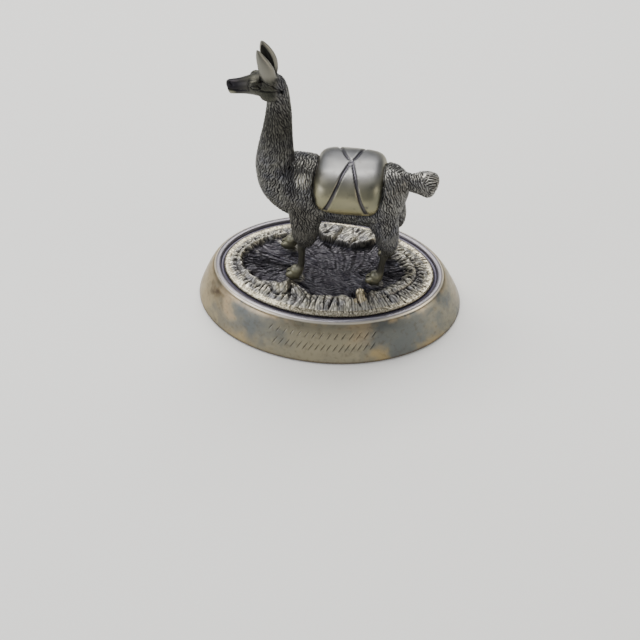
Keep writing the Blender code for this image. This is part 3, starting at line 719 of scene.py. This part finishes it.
def ball(name, centre, radii, degrees=0.0):
    """An ellipsoid, turned about Y."""
    bpy.ops.mesh.primitive_uv_sphere_add(segments=48, ring_count=28, radius=MM)
    obj = bpy.context.object
    obj.name = name
    turn = Matrix.Rotation(math.radians(degrees), 4, "Y")
    obj.data.transform(Matrix.Translation(Vector(centre) * MM) @ turn @ Matrix.Diagonal((*radii, 1)))
    return obj


def apply(obj, kind, **settings):
    """Adds one modifier and makes its result the object's own mesh."""
    bpy.ops.object.select_all(action="DESELECT")
    bpy.context.view_layer.objects.active = obj
    obj.select_set(True)
    modifier = obj.modifiers.new(kind.lower(), kind)
    for name, value in settings.items():
        setattr(modifier, name, value)
    bpy.ops.object.modifier_apply(modifier=modifier.name)


def fore_leg(y, foot_x):
    """Wide fleece down to the knee, then a bare shank and a splayed foot that points forward."""
    lean = foot_x - FORE_LEGS[0][1]
    fleece = [
        (-3.8, y * 0.72, 34.0, 1.6, 3.0),
        (-3.6, y * 0.95, 29.5, 2.3, 3.7),
        (-3.9 + 0.2 * lean, y, 25.0, 2.3, 2.95),
        (-4.0 + 0.4 * lean, y, 22.0, 2.1, 2.6),
        (-4.1 + 0.5 * lean, y, 20.3, 1.65, 2.05),
        (-4.4 + 0.6 * lean, y, 19.3, 1.15, 1.35),
        (-4.6 + 0.6 * lean, y, 18.4, 0.75, 0.8),
    ]
    shank = [
        (-4.4 + 0.6 * lean, y, 21.0, 0.9, 0.95),
        (-4.8 + 0.65 * lean, y, 18.8, 0.8, 0.85),
        (-4.8 + 0.75 * lean, y, 15.6, 0.62, 0.66),
        (-5.0 + 0.9 * lean, y, 13.2, 0.7, 0.72),
        (-5.4 + lean, y, 11.9, 0.95, 0.95),
        (-5.6 + lean, y, 10.9, 0.7, 0.7),
    ]
    return [limb("fleece", fleece), limb("shank", shank, 28)] + foot(y, foot_x)


def hind_leg(y, foot_x, hock_x):
    """A heavy thigh, fleece to the hock, and a shank that slants forward to the foot."""
    lean = hock_x - HIND_LEGS[0][2]
    thigh = [
        (11.0, y * 0.72, 34.0, 1.6, 2.6),
        (11.2 + 0.2 * lean, y * 0.95, 29.5, 2.4, 3.6),
        (12.4 + 0.6 * lean, y, 24.5, 2.2, 2.6),
        (hock_x, y, 21.5, 1.95, 2.25),
        (hock_x + 0.1, y, 19.8, 1.5, 1.75),
        (hock_x - 0.1, y, 18.7, 1.05, 1.15),
        (hock_x - 0.3, y, 17.8, 0.7, 0.75),
    ]
    run = foot_x - hock_x
    shank = [
        (hock_x - 0.1, y, 20.0, 0.9, 1.0),
        (hock_x - 0.4 + 0.05 * run, y, 18.0, 0.75, 0.85),
        (hock_x - 0.2 + 0.3 * run, y, 15.0, 0.6, 0.66),
        (hock_x + 0.5 * run, y, 12.6, 0.75, 0.78),
        (hock_x + 0.6 * run, y, 11.6, 0.9, 0.9),
        (hock_x + 0.65 * run, y, 10.8, 0.7, 0.7),
    ]
    return [limb("thigh", thigh), limb("shank", shank, 28)] + foot(y, foot_x)


def foot(y, x):
    """Two blunt toes side by side, under a rounded pastern."""
    forms = [ball("pastern", (x + 0.7, y, FOOT_SOLE + 1.9), (1.3, 1.1, 1.5), -20)]
    for side in (-1, 1):
        toe = [
            (x + 1.3, y + side * 0.45, FOOT_SOLE + 1.1, 0.6, 1.1),
            (x + 0.3, y + side * 0.52, FOOT_SOLE + 1.15, 0.68, 1.15),
            (x - 0.8, y + side * 0.52, FOOT_SOLE + 0.9, 0.55, 0.88),
            (x - 1.3, y + side * 0.48, FOOT_SOLE + 0.55, 0.26, 0.42),
        ]
        forms.append(limb("toe", toe, 24))
    return forms


EAR_HOLLOWS = []


def ear(side, lean):
    """A tall cupped leaf, hollow towards the middle of the head and a little forward."""
    stations = [
        (-10.2, MID_Y + side * 1.35, 59.3, 0.95, 1.0),
        (-10.3, MID_Y + side * 1.45, 60.8, 0.95, 1.35),
        (-10.6 + 0.1 * lean, MID_Y + side * 1.55, 62.5, 0.95, 1.5),
        (-11.1 + 0.3 * lean, MID_Y + side * 1.55, 64.1, 0.85, 1.3 + 0.2 * lean),
        (-11.7 + 0.6 * lean, MID_Y + side * 1.5, 65.7, 0.65, 0.85 + 0.3 * lean),
        (-12.1 + 0.7 * lean, MID_Y + side * 1.4, 66.9, 0.35, 0.4 + 0.2 * lean),
        (-12.3 + 0.7 * lean, MID_Y + side * 1.35, 67.4, 0.15, 0.15),
    ]
    leaf = limb("ear", stations, 40)
    hollow = [(x - 0.1, y - side * 0.72, z, across * 0.85, deep * 0.62)
              for x, y, z, across, deep in stations[1:]]
    EAR_HOLLOWS.append(np.array(hollow))
    cutter = limb("ear_hollow", hollow, 32)
    apply(leaf, "BOOLEAN", operation="DIFFERENCE", solver="EXACT", object=cutter)
    bpy.data.objects.remove(cutter, do_unlink=True)
    return leaf


TRUNK = [
    (-9.5, MID_Y, 33.5, 3.4, 4.4),
    (-7.5, MID_Y, 32.6, 5.3, 6.4),
    (-4.5, MID_Y, 31.8, 6.2, 7.1),
    (-1.0, MID_Y, BODY_AXIS + 0.1, 6.2, 6.9),
    (5.0, MID_Y, BODY_AXIS - 0.2, 6.0, 6.95),
    (9.0, MID_Y, BODY_AXIS - 0.2, 6.15, 7.0),
    (11.0, MID_Y, BODY_AXIS - 0.1, 6.3, 6.9),
    (13.4, MID_Y, 31.7, 5.8, 6.2),
    (14.7, MID_Y, 32.3, 4.6, 5.1),
    (15.6, MID_Y, 33.3, 3.2, 3.7),
    (16.3, MID_Y, 34.1, 1.9, 2.2),
    (16.6, MID_Y, 34.5, 0.6, 0.8),
]
NECK = [
    (-9.7, MID_Y, 59.8, 1.2, 1.2),
    (-9.2, MID_Y, 57.6, 1.95, 2.1),
    (-8.9, MID_Y, 54.0, 2.1, 2.3),
    (-9.0, MID_Y, 50.5, 2.35, 2.6),
    (-9.4, MID_Y, 46.0, 2.7, 3.0),
    (-9.9, MID_Y, 41.0, 3.2, 3.6),
    (-10.0, MID_Y, 36.5, 3.8, 4.1),
    (-8.9, MID_Y, 32.3, 4.4, 4.5),
    (-6.2, MID_Y, 29.6, 4.8, 4.4),
    (-3.0, MID_Y, 28.6, 4.6, 3.6),
]
SKULL = [
    (-18.5, MID_Y, 56.5, 0.75, 1.15),
    (-18.3, MID_Y, 56.55, 1.1, 1.5),
    (-17.6, MID_Y, 56.65, 1.25, 1.6),
    (-16.2, MID_Y, 56.9, 1.3, 1.68),
    (-14.6, MID_Y, 57.3, 1.6, 1.95),
    (-12.8, MID_Y, 57.7, 2.15, 2.35),
    (-10.8, MID_Y, 57.9, 2.35, 2.6),
    (-9.0, MID_Y, 57.8, 2.0, 2.3),
    (-7.7, MID_Y, 57.4, 1.1, 1.3),
]
PLUME = [
    (14.6, MID_Y, 35.9, 1.7, 2.0),
    (16.4, MID_Y, 35.3, 1.7, 2.0),
    (17.6, MID_Y, 35.2, 1.9, 2.2),
    (19.2, MID_Y, 35.3, 2.35, 2.65),
    (20.6, MID_Y, 35.0, 2.5, 2.75),
    (21.5, MID_Y, 34.7, 2.0, 2.2),
    (21.9, MID_Y, 34.55, 0.9, 1.0),
]
forms = [limb("trunk", TRUNK, 64, upright=True), limb("neck", NECK)]
forms += [limb("skull", SKULL), limb("plume", PLUME)]
for side in (-1, 1):
    forms.append(ball("brow", (-13.3, MID_Y + side * 1.45, 58.9), (1.15, 0.75, 0.8), -12))
    forms.append(ball("cheek", (-10.4, MID_Y + side * 1.75, 56.4), (1.9, 0.85, 1.35), 8))
for y, foot_x in FORE_LEGS:
    forms += fore_leg(y, foot_x)
for y, foot_x, hock_x in HIND_LEGS:
    forms += hind_leg(y, foot_x, hock_x)
forms += [ear(-1, 0.0), ear(1, 0.5)]
bpy.ops.object.select_all(action="DESELECT")
for form in forms:
    form.select_set(True)
bpy.context.view_layer.objects.active = forms[0]
bpy.ops.object.join()
llama = bpy.context.object
llama.name = "llama_casting"
apply(llama, "REMESH", mode="VOXEL", voxel_size=VOXEL * MM)
apply(llama, "SMOOTH", factor=0.5, iterations=6)


def line_distance(points, line):
    """How far each point lies from a chain of straight segments, all in the XZ plane."""
    nearest = np.full(len(points), 1e9)
    for start, end in zip(np.array(line[:-1]), np.array(line[1:])):
        run = end - start
        share = np.clip((points - start) @ run / (run @ run), 0.0, 1.0)
        nearest = np.minimum(nearest, np.linalg.norm(points - start - share[:, None] * run, axis=1))
    return nearest


def shut_off(obj, reach, rays, seed):
    """The share of the open air over each point that the piece itself shuts off, within a reach."""
    shape = BVHTree.FromObject(obj, bpy.context.evaluated_depsgraph_get())
    place, normal = point_values(obj)
    random = np.random.default_rng(seed)
    blocked = np.zeros(len(place))
    start = place * MM + normal * 0.25 * MM
    for _ in range(rays):
        spray = random.normal(size=place.shape)
        ways = normal * 1.02 + spray / np.linalg.norm(spray, axis=1)[:, None]
        ways /= np.linalg.norm(ways, axis=1)[:, None]
        aimed = zip(start.tolist(), ways.tolist())
        blocked += [shape.ray_cast(spot, way, reach)[0] is not None for spot, way in aimed]
    return blocked / rays


def spread(obj, values, rounds):
    """Evens a value out over neighbouring points."""
    ends = np.empty(len(obj.data.edges) * 2, np.int32)
    obj.data.edges.foreach_get("vertices", ends)
    one, other = ends[::2], ends[1::2]
    size = len(values)
    neighbours = np.maximum(np.bincount(ends, minlength=size), 1)
    for _ in range(rounds):
        total = np.bincount(one, values[other], size) + np.bincount(other, values[one], size)
        values = 0.4 * values + 0.6 * total / neighbours
    return values


# Each line: points in x and z, half width, depth, and its least distance off the middle.
FACE_LINES = (
    ([(-18.9, 56.9), (-17.4, 56.75), (-15.8, 56.9), (-14.7, 57.25)], 0.2, 0.32, 0.3),
    ([(-18.1, 57.95), (-17.6, 57.7)], 0.25, 0.25, 0.2),
    ([(-14.2, 59.2), (-14.35, 58.3), (-14.2, 57.3)], 0.35, 0.05, 0.5),
    ([(-13.9, 58.4), (-13.3, 59.0), (-12.5, 59.0), (-11.9, 58.5)], 0.20, 0.22, 0.8),
    ([(-13.9, 58.4), (-13.2, 58.0), (-12.4, 58.1), (-11.9, 58.5)], 0.20, 0.22, 0.8),
    ([(-13.2, 58.5), (-12.7, 58.5)], 0.38, -0.16, 0.8),
    ([(-12.1, 59.6), (-11.0, 60.0), (-9.9, 59.3), (-8.8, 58.3), (-7.6, 57.4)], 0.30, 0.30, 0.8),
    ([(-11.9, 58.0), (-10.9, 57.9), (-9.0, 57.8), (-7.6, 57.3)], 0.30, 0.32, 0.8),
    ([(-12.0, 61.0), (-12.1, 60.2), (-11.7, 59.2)], 0.30, 0.2, 0.6),
    ([(-12.4, 56.2), (-10.5, 55.3), (-8.6, 55.4)], 0.30, 0.16, 0.8),
)
PACK_MIDDLE = (4.8, MID_Y, 34.1)
PACK_REACH = (6.95, 7.15, 5.15)


def pack_share(place, swell=0.0):
    """1 on the skin of the pack, less inside and more outside."""
    x, y, z = [(place[:, i] - PACK_MIDDLE[i]) / (PACK_REACH[i] + swell) for i in range(3)]
    ring = (np.abs(y) ** 2.45 + np.abs(z) ** 2.45) ** (1 / 2.45)
    return (np.abs(x) ** 4.5 + ring ** 4.5) ** (1 / 4.5)


place, normal = point_values(llama)
carved = np.zeros(len(place))
flank = np.abs(place[:, 1] - MID_Y)
for line, half_width, depth, least_flank in FACE_LINES:
    away = line_distance(place[:, [0, 2]], line) / half_width
    share = np.where(away < 1, (1 - np.minimum(away, 1) ** 2) ** 2, 0.0)
    share *= (flank > least_flank) * np.clip(np.abs(normal[:, 1]) * 2, 0, 1)
    place -= normal * (share * depth)[:, None]
    carved = np.maximum(carved, share * np.sign(depth))
for foot_y, foot_x in FEET:
    cleft = np.maximum(1 - ((place[:, 1] - foot_y) / 0.22) ** 2, 0) * (place[:, 0] < foot_x - 0.1)
    cleft *= (place[:, 2] < FOOT_SOLE + 1.6) * (np.abs(place[:, 0] - foot_x) < 2.0)
    place -= normal * (cleft * 0.2)[:, None]
    carved = np.maximum(carved, cleft)
moat = (pack_share(place) - 1) * 6
sunk = np.clip(1 - (moat / 0.42) ** 2, 0, 1)
place -= normal * (sunk * 0.35)[:, None]
set_places(llama, place)

# How far the fleece leans off straight down, in degrees towards the tail, at places in x and z.
COMB_GUIDES = np.array([
    (-9.0, 58.0, 42), (-7.6, 57.0, 35), (-8.4, 54.5, 28), (-10.8, 54.0, 0), (-8.2, 50.0, 22),
    (-11.2, 49.0, -4), (-8.2, 45.5, 8), (-12.0, 44.0, -8), (-9.0, 41.0, -16), (-13.0, 39.0, -8), (-7.2, 39.5, -14),
    (-10.5, 36.5, -26), (-13.6, 35.0, -4), (-11.0, 32.0, -26), (-8.5, 29.5, -14), (-12.8, 31.0, 20),
    (-5.6, 36.5, -6), (-3.6, 37.5, 2), (-2.6, 35.0, -4), (-5.4, 33.0, -16), (-3.0, 32.0, -4),
    (-5.6, 29.0, 8), (-3.4, 28.6, 18), (-1.6, 27.2, 30), (-5.0, 25.0, 4), (-3.4, 22.0, 0),
    (2.0, 26.5, 4), (5.0, 26.0, 0), (8.0, 26.5, 6), (10.4, 28.8, 20), (12.4, 27.6, 10),
    (12.8, 37.0, 34), (14.4, 35.6, 30), (12.9, 33.6, 16), (14.8, 32.8, 18), (13.0, 31.0, 12),
    (15.0, 29.8, 0), (12.6, 25.0, -6), (13.6, 21.8, 4),
], float)


CRIMP_LENGTH = 1.9
CRIMP_LEAN = 22


def fleece_guide(place, normal):
    """The way the fleece lies: down and a little back or forward, off the spine, and out along the tail."""
    x, y, z = place.T
    away = (x[:, None] - COMB_GUIDES[:, 0]) ** 2 + (z[:, None] - COMB_GUIDES[:, 1]) ** 2
    weight = 1 / (away + 0.6) ** 2
    lean = (weight * COMB_GUIDES[:, 2]).sum(axis=1) / weight.sum(axis=1)
    crimp = np.sin(2 * math.pi * (z + 0.35 * x) / CRIMP_LENGTH + 1.1 * np.sin(0.9 * y + 0.8 * x))
    lean += CRIMP_LEAN * (1 - 0.6 * ease(40, 46, z)) * crimp
    lean = np.radians(lean)
    off_spine = np.sign(y - MID_Y) * np.clip(normal[:, 2], 0, 1) * 1.4
    guide = np.stack([np.sin(lean), off_spine, -np.cos(lean)], axis=1)
    out = place - np.array([19.4, MID_Y, 35.1])
    far = np.hypot(out[:, 0], out[:, 2])
    out /= np.maximum(np.linalg.norm(out, axis=1), 1e-9)[:, None]
    on_rim = (ease(1.4, 1.9, far) * ease(18.0, 19.2, x))[:, None]
    return guide * (1 - on_rim) + out * on_rim


x, y, z = place.T
on_head = ease(54.4, 56.0, z + 0.55 * (-9.5 - x))
bare = np.maximum(on_head * ease(-8.0, -9.6, x), ease(59.9, 60.7, z + 0.3 * (x + 8.0)))
shank_top = np.where(x < 3, 19.3, 18.6)
bare = np.maximum(bare, ease(shank_top + 0.3, shank_top - 0.5, z))
fine = ease(25.5, 22.5, z) * (1 - bare)
_, normal = point_values(llama)
tree = point_tree(place)
guide = fleece_guide(place, normal)
broad_mask = (1 - bare) * (1 - fine) * (moat > 0.15)
high = ease(39.9, 40.1, z) * (x < -5)
NECK_DEPTH = 0.19
FINE_DEPTH = 0.12
fleece = np.maximum(comb(place, normal, tree, guide, broad_mask * (1 - high), 0.46, 0.9, 0.2, 3, 3),
                    comb(place, normal, tree, guide, broad_mask * high, 0.46, 1.15, NECK_DEPTH, 4))
fine_mask = np.maximum(fine, 0.45 * bare * ease(-13.6, -12.6, x) * (z > 55) * (z < 60.4)) * (moat > 0.15)
fleece_fine = comb(place, normal, tree, guide, fine_mask, 0.38, 0.8, FINE_DEPTH, 5, 2)
cut = np.maximum(fleece, fleece_fine)
place -= normal * cut[:, None]
set_places(llama, place)
for hollow in EAR_HOLLOWS:
    middle_x, middle_y, across, deep = [np.interp(z, hollow[:, 2], hollow[:, i]) for i in (0, 1, 3, 4)]
    inside = np.hypot((x - middle_x) / deep, (y - middle_y) / across) < 1.12
    carved = np.maximum(carved, inside * ease(60.2, 61.0, z))
strokes = np.maximum(fleece / NECK_DEPTH, fleece_fine / FINE_DEPTH)
store(llama, "groove", np.maximum(np.clip(strokes, 0, 1), np.maximum(carved * 0.8, sunk * 0.85)))
store(llama, "bare", bare)
store(llama, "worn", np.maximum(ease(60.3, 62.0, z), ease(13.4, 11.6, z)))
triangles = sum(len(face.vertices) - 2 for face in llama.data.polygons)
apply(llama, "DECIMATE", ratio=min(LLAMA_TRIANGLES / triangles, 1.0), use_collapse_triangulate=True)
llama.data.shade_smooth()
# For painted shade: how much of the open air the casting shuts off over each point, evened out.
store(llama, "hollow", spread(llama, shut_off(llama, 5.0 * MM, 8, 21), 6))

# Cast silver under a thick olive-grey oxide: near black in the strokes and carved crevices, worn light on the
# crests, on the ears and on the feet. Painted shade darkens it further in crevices and under the body, where
# the casting shuts off its own open air, and patches of painted shade and highlight lie on the shoulder.
OXIDE_CREST = "#7B7A74"
OXIDE_SKIN = "#4A4942"
WORN_SKIN = "#7A786F"
# Patches over the fleece crests, each a centre, a reach and a colour: darker on the neck, the upper fore leg and
# the low shoulder, lighter on the rump and the tail, with painted shade and a painted highlight on the shoulder.
FLEECE_TONES_AND_PAINTED_LIGHT = (
    ((-9.5, -1.0, 49.0), 6.0, "#4D4C46"),
    ((-5.0, -4.0, 24.0), 4.5, "#5A5852"),
    ((-4.6, -5.5, 29.5), 3.2, "#605E58"),
    # Painted shade in the crease between neck and shoulder.
    ((-6.9, -3.2, 38.5), 1.5, "#504F4F"),
    ((-6.4, -4.8, 34.8), 1.5, "#504F4F"),
    # Painted shade over the top of the shoulder.
    ((-3.2, -0.4, 38.6), 1.8, "#65645F"),
    # Painted highlight on the shoulder.
    ((-4.1, -4.0, 37.0), 1.3, "#CFCCC0"),
    ((14.0, -1.0, 34.0), 4.5, "#84837F"),
    ((20.0, 0.2, 35.0), 3.0, "#A09E98"),
)
material, tree, shader = new_material("oxidised_cast_silver")
coords = put(tree, "ShaderNodeTexCoord", {}, {}).outputs["Object"]
crest = blend_colour(tree, speckle(tree, coords, 3.0, 0.38, 0.64), OXIDE_CREST, "#646467")
skin = blend_colour(tree, stored(tree, "worn"), OXIDE_SKIN, WORN_SKIN)
for centre, reach, shade in FLEECE_TONES_AND_PAINTED_LIGHT:
    crest = blend_colour(tree, blotch(tree, coords, centre, reach), crest, shade)
for centre, reach, shade in (
    ((-10.8, -2.0, 56.6), 2.4, "#4A4A42"),
    ((-17.5, 0.2, 57.2), 3.0, "#29272A"),
    ((-17.7, -1.3, 55.9), 0.75, "#7F7E6C"),
):
    skin = blend_colour(tree, blotch(tree, coords, centre, reach), skin, shade)
skin = blend_colour(tree, height_share(tree, coords, 13.2, 11.8), skin, "#7E7C69")
colour = blend_colour(tree, stored(tree, "bare"), crest, skin)
# Painted shade where the casting shuts off its own open air, weaker on the worn ears and feet.
shut = put(tree, "ShaderNodeMapRange", {}, {"Value": stored(tree, "worn"), 3: 0.85, 4: 0.25}).outputs[0]
colour = blend_colour(tree, product(tree, stored(tree, "hollow"), shut), colour, SULPHIDE_AND_SHADE_BLACK)
colour = blend_colour(tree, stored(tree, "groove"), colour, SULPHIDE_AND_SHADE_BLACK)
tree.links.new(colour, shader.inputs["Base Color"])
shader.inputs["Metallic"].default_value = 0.95
matt = put(tree, "ShaderNodeMapRange", {}, {"Value": stored(tree, "bare"), 3: 0.34, 4: 0.45}).outputs[0]
rough = put(tree, "ShaderNodeMapRange", {}, {"Value": stored(tree, "groove"), 3: matt, 4: 0.6})
tree.links.new(rough.outputs[0], shader.inputs["Roughness"])
llama.data.materials.clear()
llama.data.materials.append(material)
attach(llama, "root")
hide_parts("llama")


# Pack: a smooth rounded bundle on the back, part of the same casting and polished to satin. Two
# straps cross on its near shoulder, each sunk as a dark groove that widens down the flank.
PACK_SIDES = 260
PACK_ROWS = 150
STRAP_CROSSING = 5.0
CROSSING_TURN = math.radians(5)
STRAP_REACH = math.radians(125)
# Where each strap ends in x, on the near flank and on the far one.
STRAPS = ((9.1, -0.6), (0.2, 8.8))

turns = np.linspace(0, math.pi, PACK_ROWS)
t = -np.sign(np.cos(turns)) * np.abs(np.cos(turns)) ** 0.8
share = np.maximum(1 - np.abs(t) ** 4.5, 1e-6) ** (1 / 4.5)
angles = np.arange(PACK_SIDES) * 2 * math.pi / PACK_SIDES
wide = np.sign(np.sin(angles)) * np.abs(np.sin(angles)) ** (2 / 2.45)
high = np.sign(np.cos(angles)) * np.abs(np.cos(angles)) ** (2 / 2.45)
places = np.zeros((PACK_ROWS, PACK_SIDES, 3))
places[:, :, 0] = (PACK_MIDDLE[0] + PACK_REACH[0] * t)[:, None]
places[:, :, 1] = PACK_MIDDLE[1] + PACK_REACH[1] * share[:, None] * wide
places[:, :, 2] = PACK_MIDDLE[2] + PACK_REACH[2] * share[:, None] * high
pack = wrapped_grid("strapped_pack", PACK_ROWS, PACK_SIDES)
shape_rings(pack, places, PACK_ROWS, PACK_SIDES)
place, normal = point_values(pack)
turn = np.arctan2((place[:, 1] - PACK_MIDDLE[1]) / PACK_REACH[1],
                  (place[:, 2] - PACK_MIDDLE[2]) / PACK_REACH[2])
past = turn - CROSSING_TURN
far_share = (np.maximum(past, 0) / (STRAP_REACH - CROSSING_TURN)) ** 0.6
near_share = (np.maximum(-past, 0) / (STRAP_REACH + CROSSING_TURN)) ** 0.9
arc = turn * PACK_REACH[1]
place += normal * (0.016 * np.sin(1.7 * arc + 1.6 * np.sin(0.45 * place[:, 0]))
                   + 0.03 * np.sin(0.9 * place[:, 0] + 0.5 * arc))[:, None]
sunk, shadow = np.zeros(len(place)), np.zeros(len(place))
for near_x, far_x in STRAPS:
    strap_x = STRAP_CROSSING + (far_x - STRAP_CROSSING) * far_share + (near_x - STRAP_CROSSING) * near_share
    half_width = 0.24 + 0.26 * (far_share + near_share)
    across = (place[:, 0] - strap_x) * 0.85 / half_width
    groove = np.clip((1 - np.abs(across)) * 2.5, 0, 1) * ease(STRAP_REACH, STRAP_REACH - 0.15, np.abs(turn))
    sunk = np.maximum(sunk, groove)
    shadow = np.maximum(shadow, groove * np.exp(-((across + 0.55) / 0.3) ** 2))
# Each pit: x, its turn round the pack in degrees, and size.
PITS = ((8.9, -90, 0.42), (8.1, -112, 0.3), (4.4, -118, 0.3), (4.0, -124, 0.22))
for pit_x, pit_turn, pit_size in PITS:
    ahead = turn - math.radians(pit_turn)
    away = np.hypot((place[:, 0] - pit_x), ahead * PACK_REACH[2]) / pit_size
    sunk = np.maximum(sunk, 0.6 * np.clip(1 - away ** 2, 0, 1))
place -= normal * (sunk * 0.3)[:, None]
set_places(pack, place)
store(pack, "groove", sunk)
store(pack, "shadow", shadow)

# Cast silver polished to satin: olive grey on the flanks and a darker grey on top, painted shade that dims the
# highlight from above; a painted highlight in a pale yellow band along the shoulder; painted shade towards the
# rump; a yellow tarnish low on the flanks, dark tarnish flecks, and black in the straps with a painted shadow
# along one edge of each.
PACK_TOP = "#707070"
PACK_FLANK = "#86836B"
PACK_LOW = "#AA9A63"
material, tree, shader = new_material("satin_silver")
coords = put(tree, "ShaderNodeTexCoord", {}, {}).outputs["Object"]
# Painted shade: the top is a darker grey, to dim the highlight from above.
colour = blend_colour(tree, height_share(tree, coords, 35.5, 38.5), PACK_FLANK, PACK_TOP)
# Painted highlight: a pale yellow band along the shoulder, below the top.
painted_highlight_band = product(tree, height_share(tree, coords, 34.4, 37.0), height_share(tree, coords, 38.9, 37.2))
colour = blend_colour(tree, product(tree, painted_highlight_band, 0.45), colour, "#A19B7C")
# Painted shade towards the rump end of the pack, dimming its highlight there.
painted_shade_near_rump = blotch(tree, coords, (11.3, -5.0, 36.5), 2.6)
colour = blend_colour(tree, product(tree, painted_shade_near_rump, 0.7), colour, "#55584F")
low_down = product(tree, height_share(tree, coords, 33.5, 29.5), speckle(tree, coords, 6.0, 0.3, 0.55))
colour = blend_colour(tree, low_down, colour, PACK_LOW)
colour = blend_colour(tree, product(tree, speckle(tree, coords, 1.4, 0.58, 0.74), 0.3), colour, "#4E4A40")
colour = blend_colour(tree, product(tree, stored(tree, "groove"), 0.85), colour, "#46444C")
colour = blend_colour(tree, stored(tree, "shadow"), colour, "#17151A")
tree.links.new(colour, shader.inputs["Base Color"])
shader.inputs["Metallic"].default_value = 1.0
rough = put(tree, "ShaderNodeMapRange", {},
            {"Value": speckle(tree, coords, 2.0, 0.3, 0.7), 3: 0.36, 4: 0.46})
tree.links.new(rough.outputs[0], shader.inputs["Roughness"])
pack.data.materials.append(material)
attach(pack, "root")
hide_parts("llama")
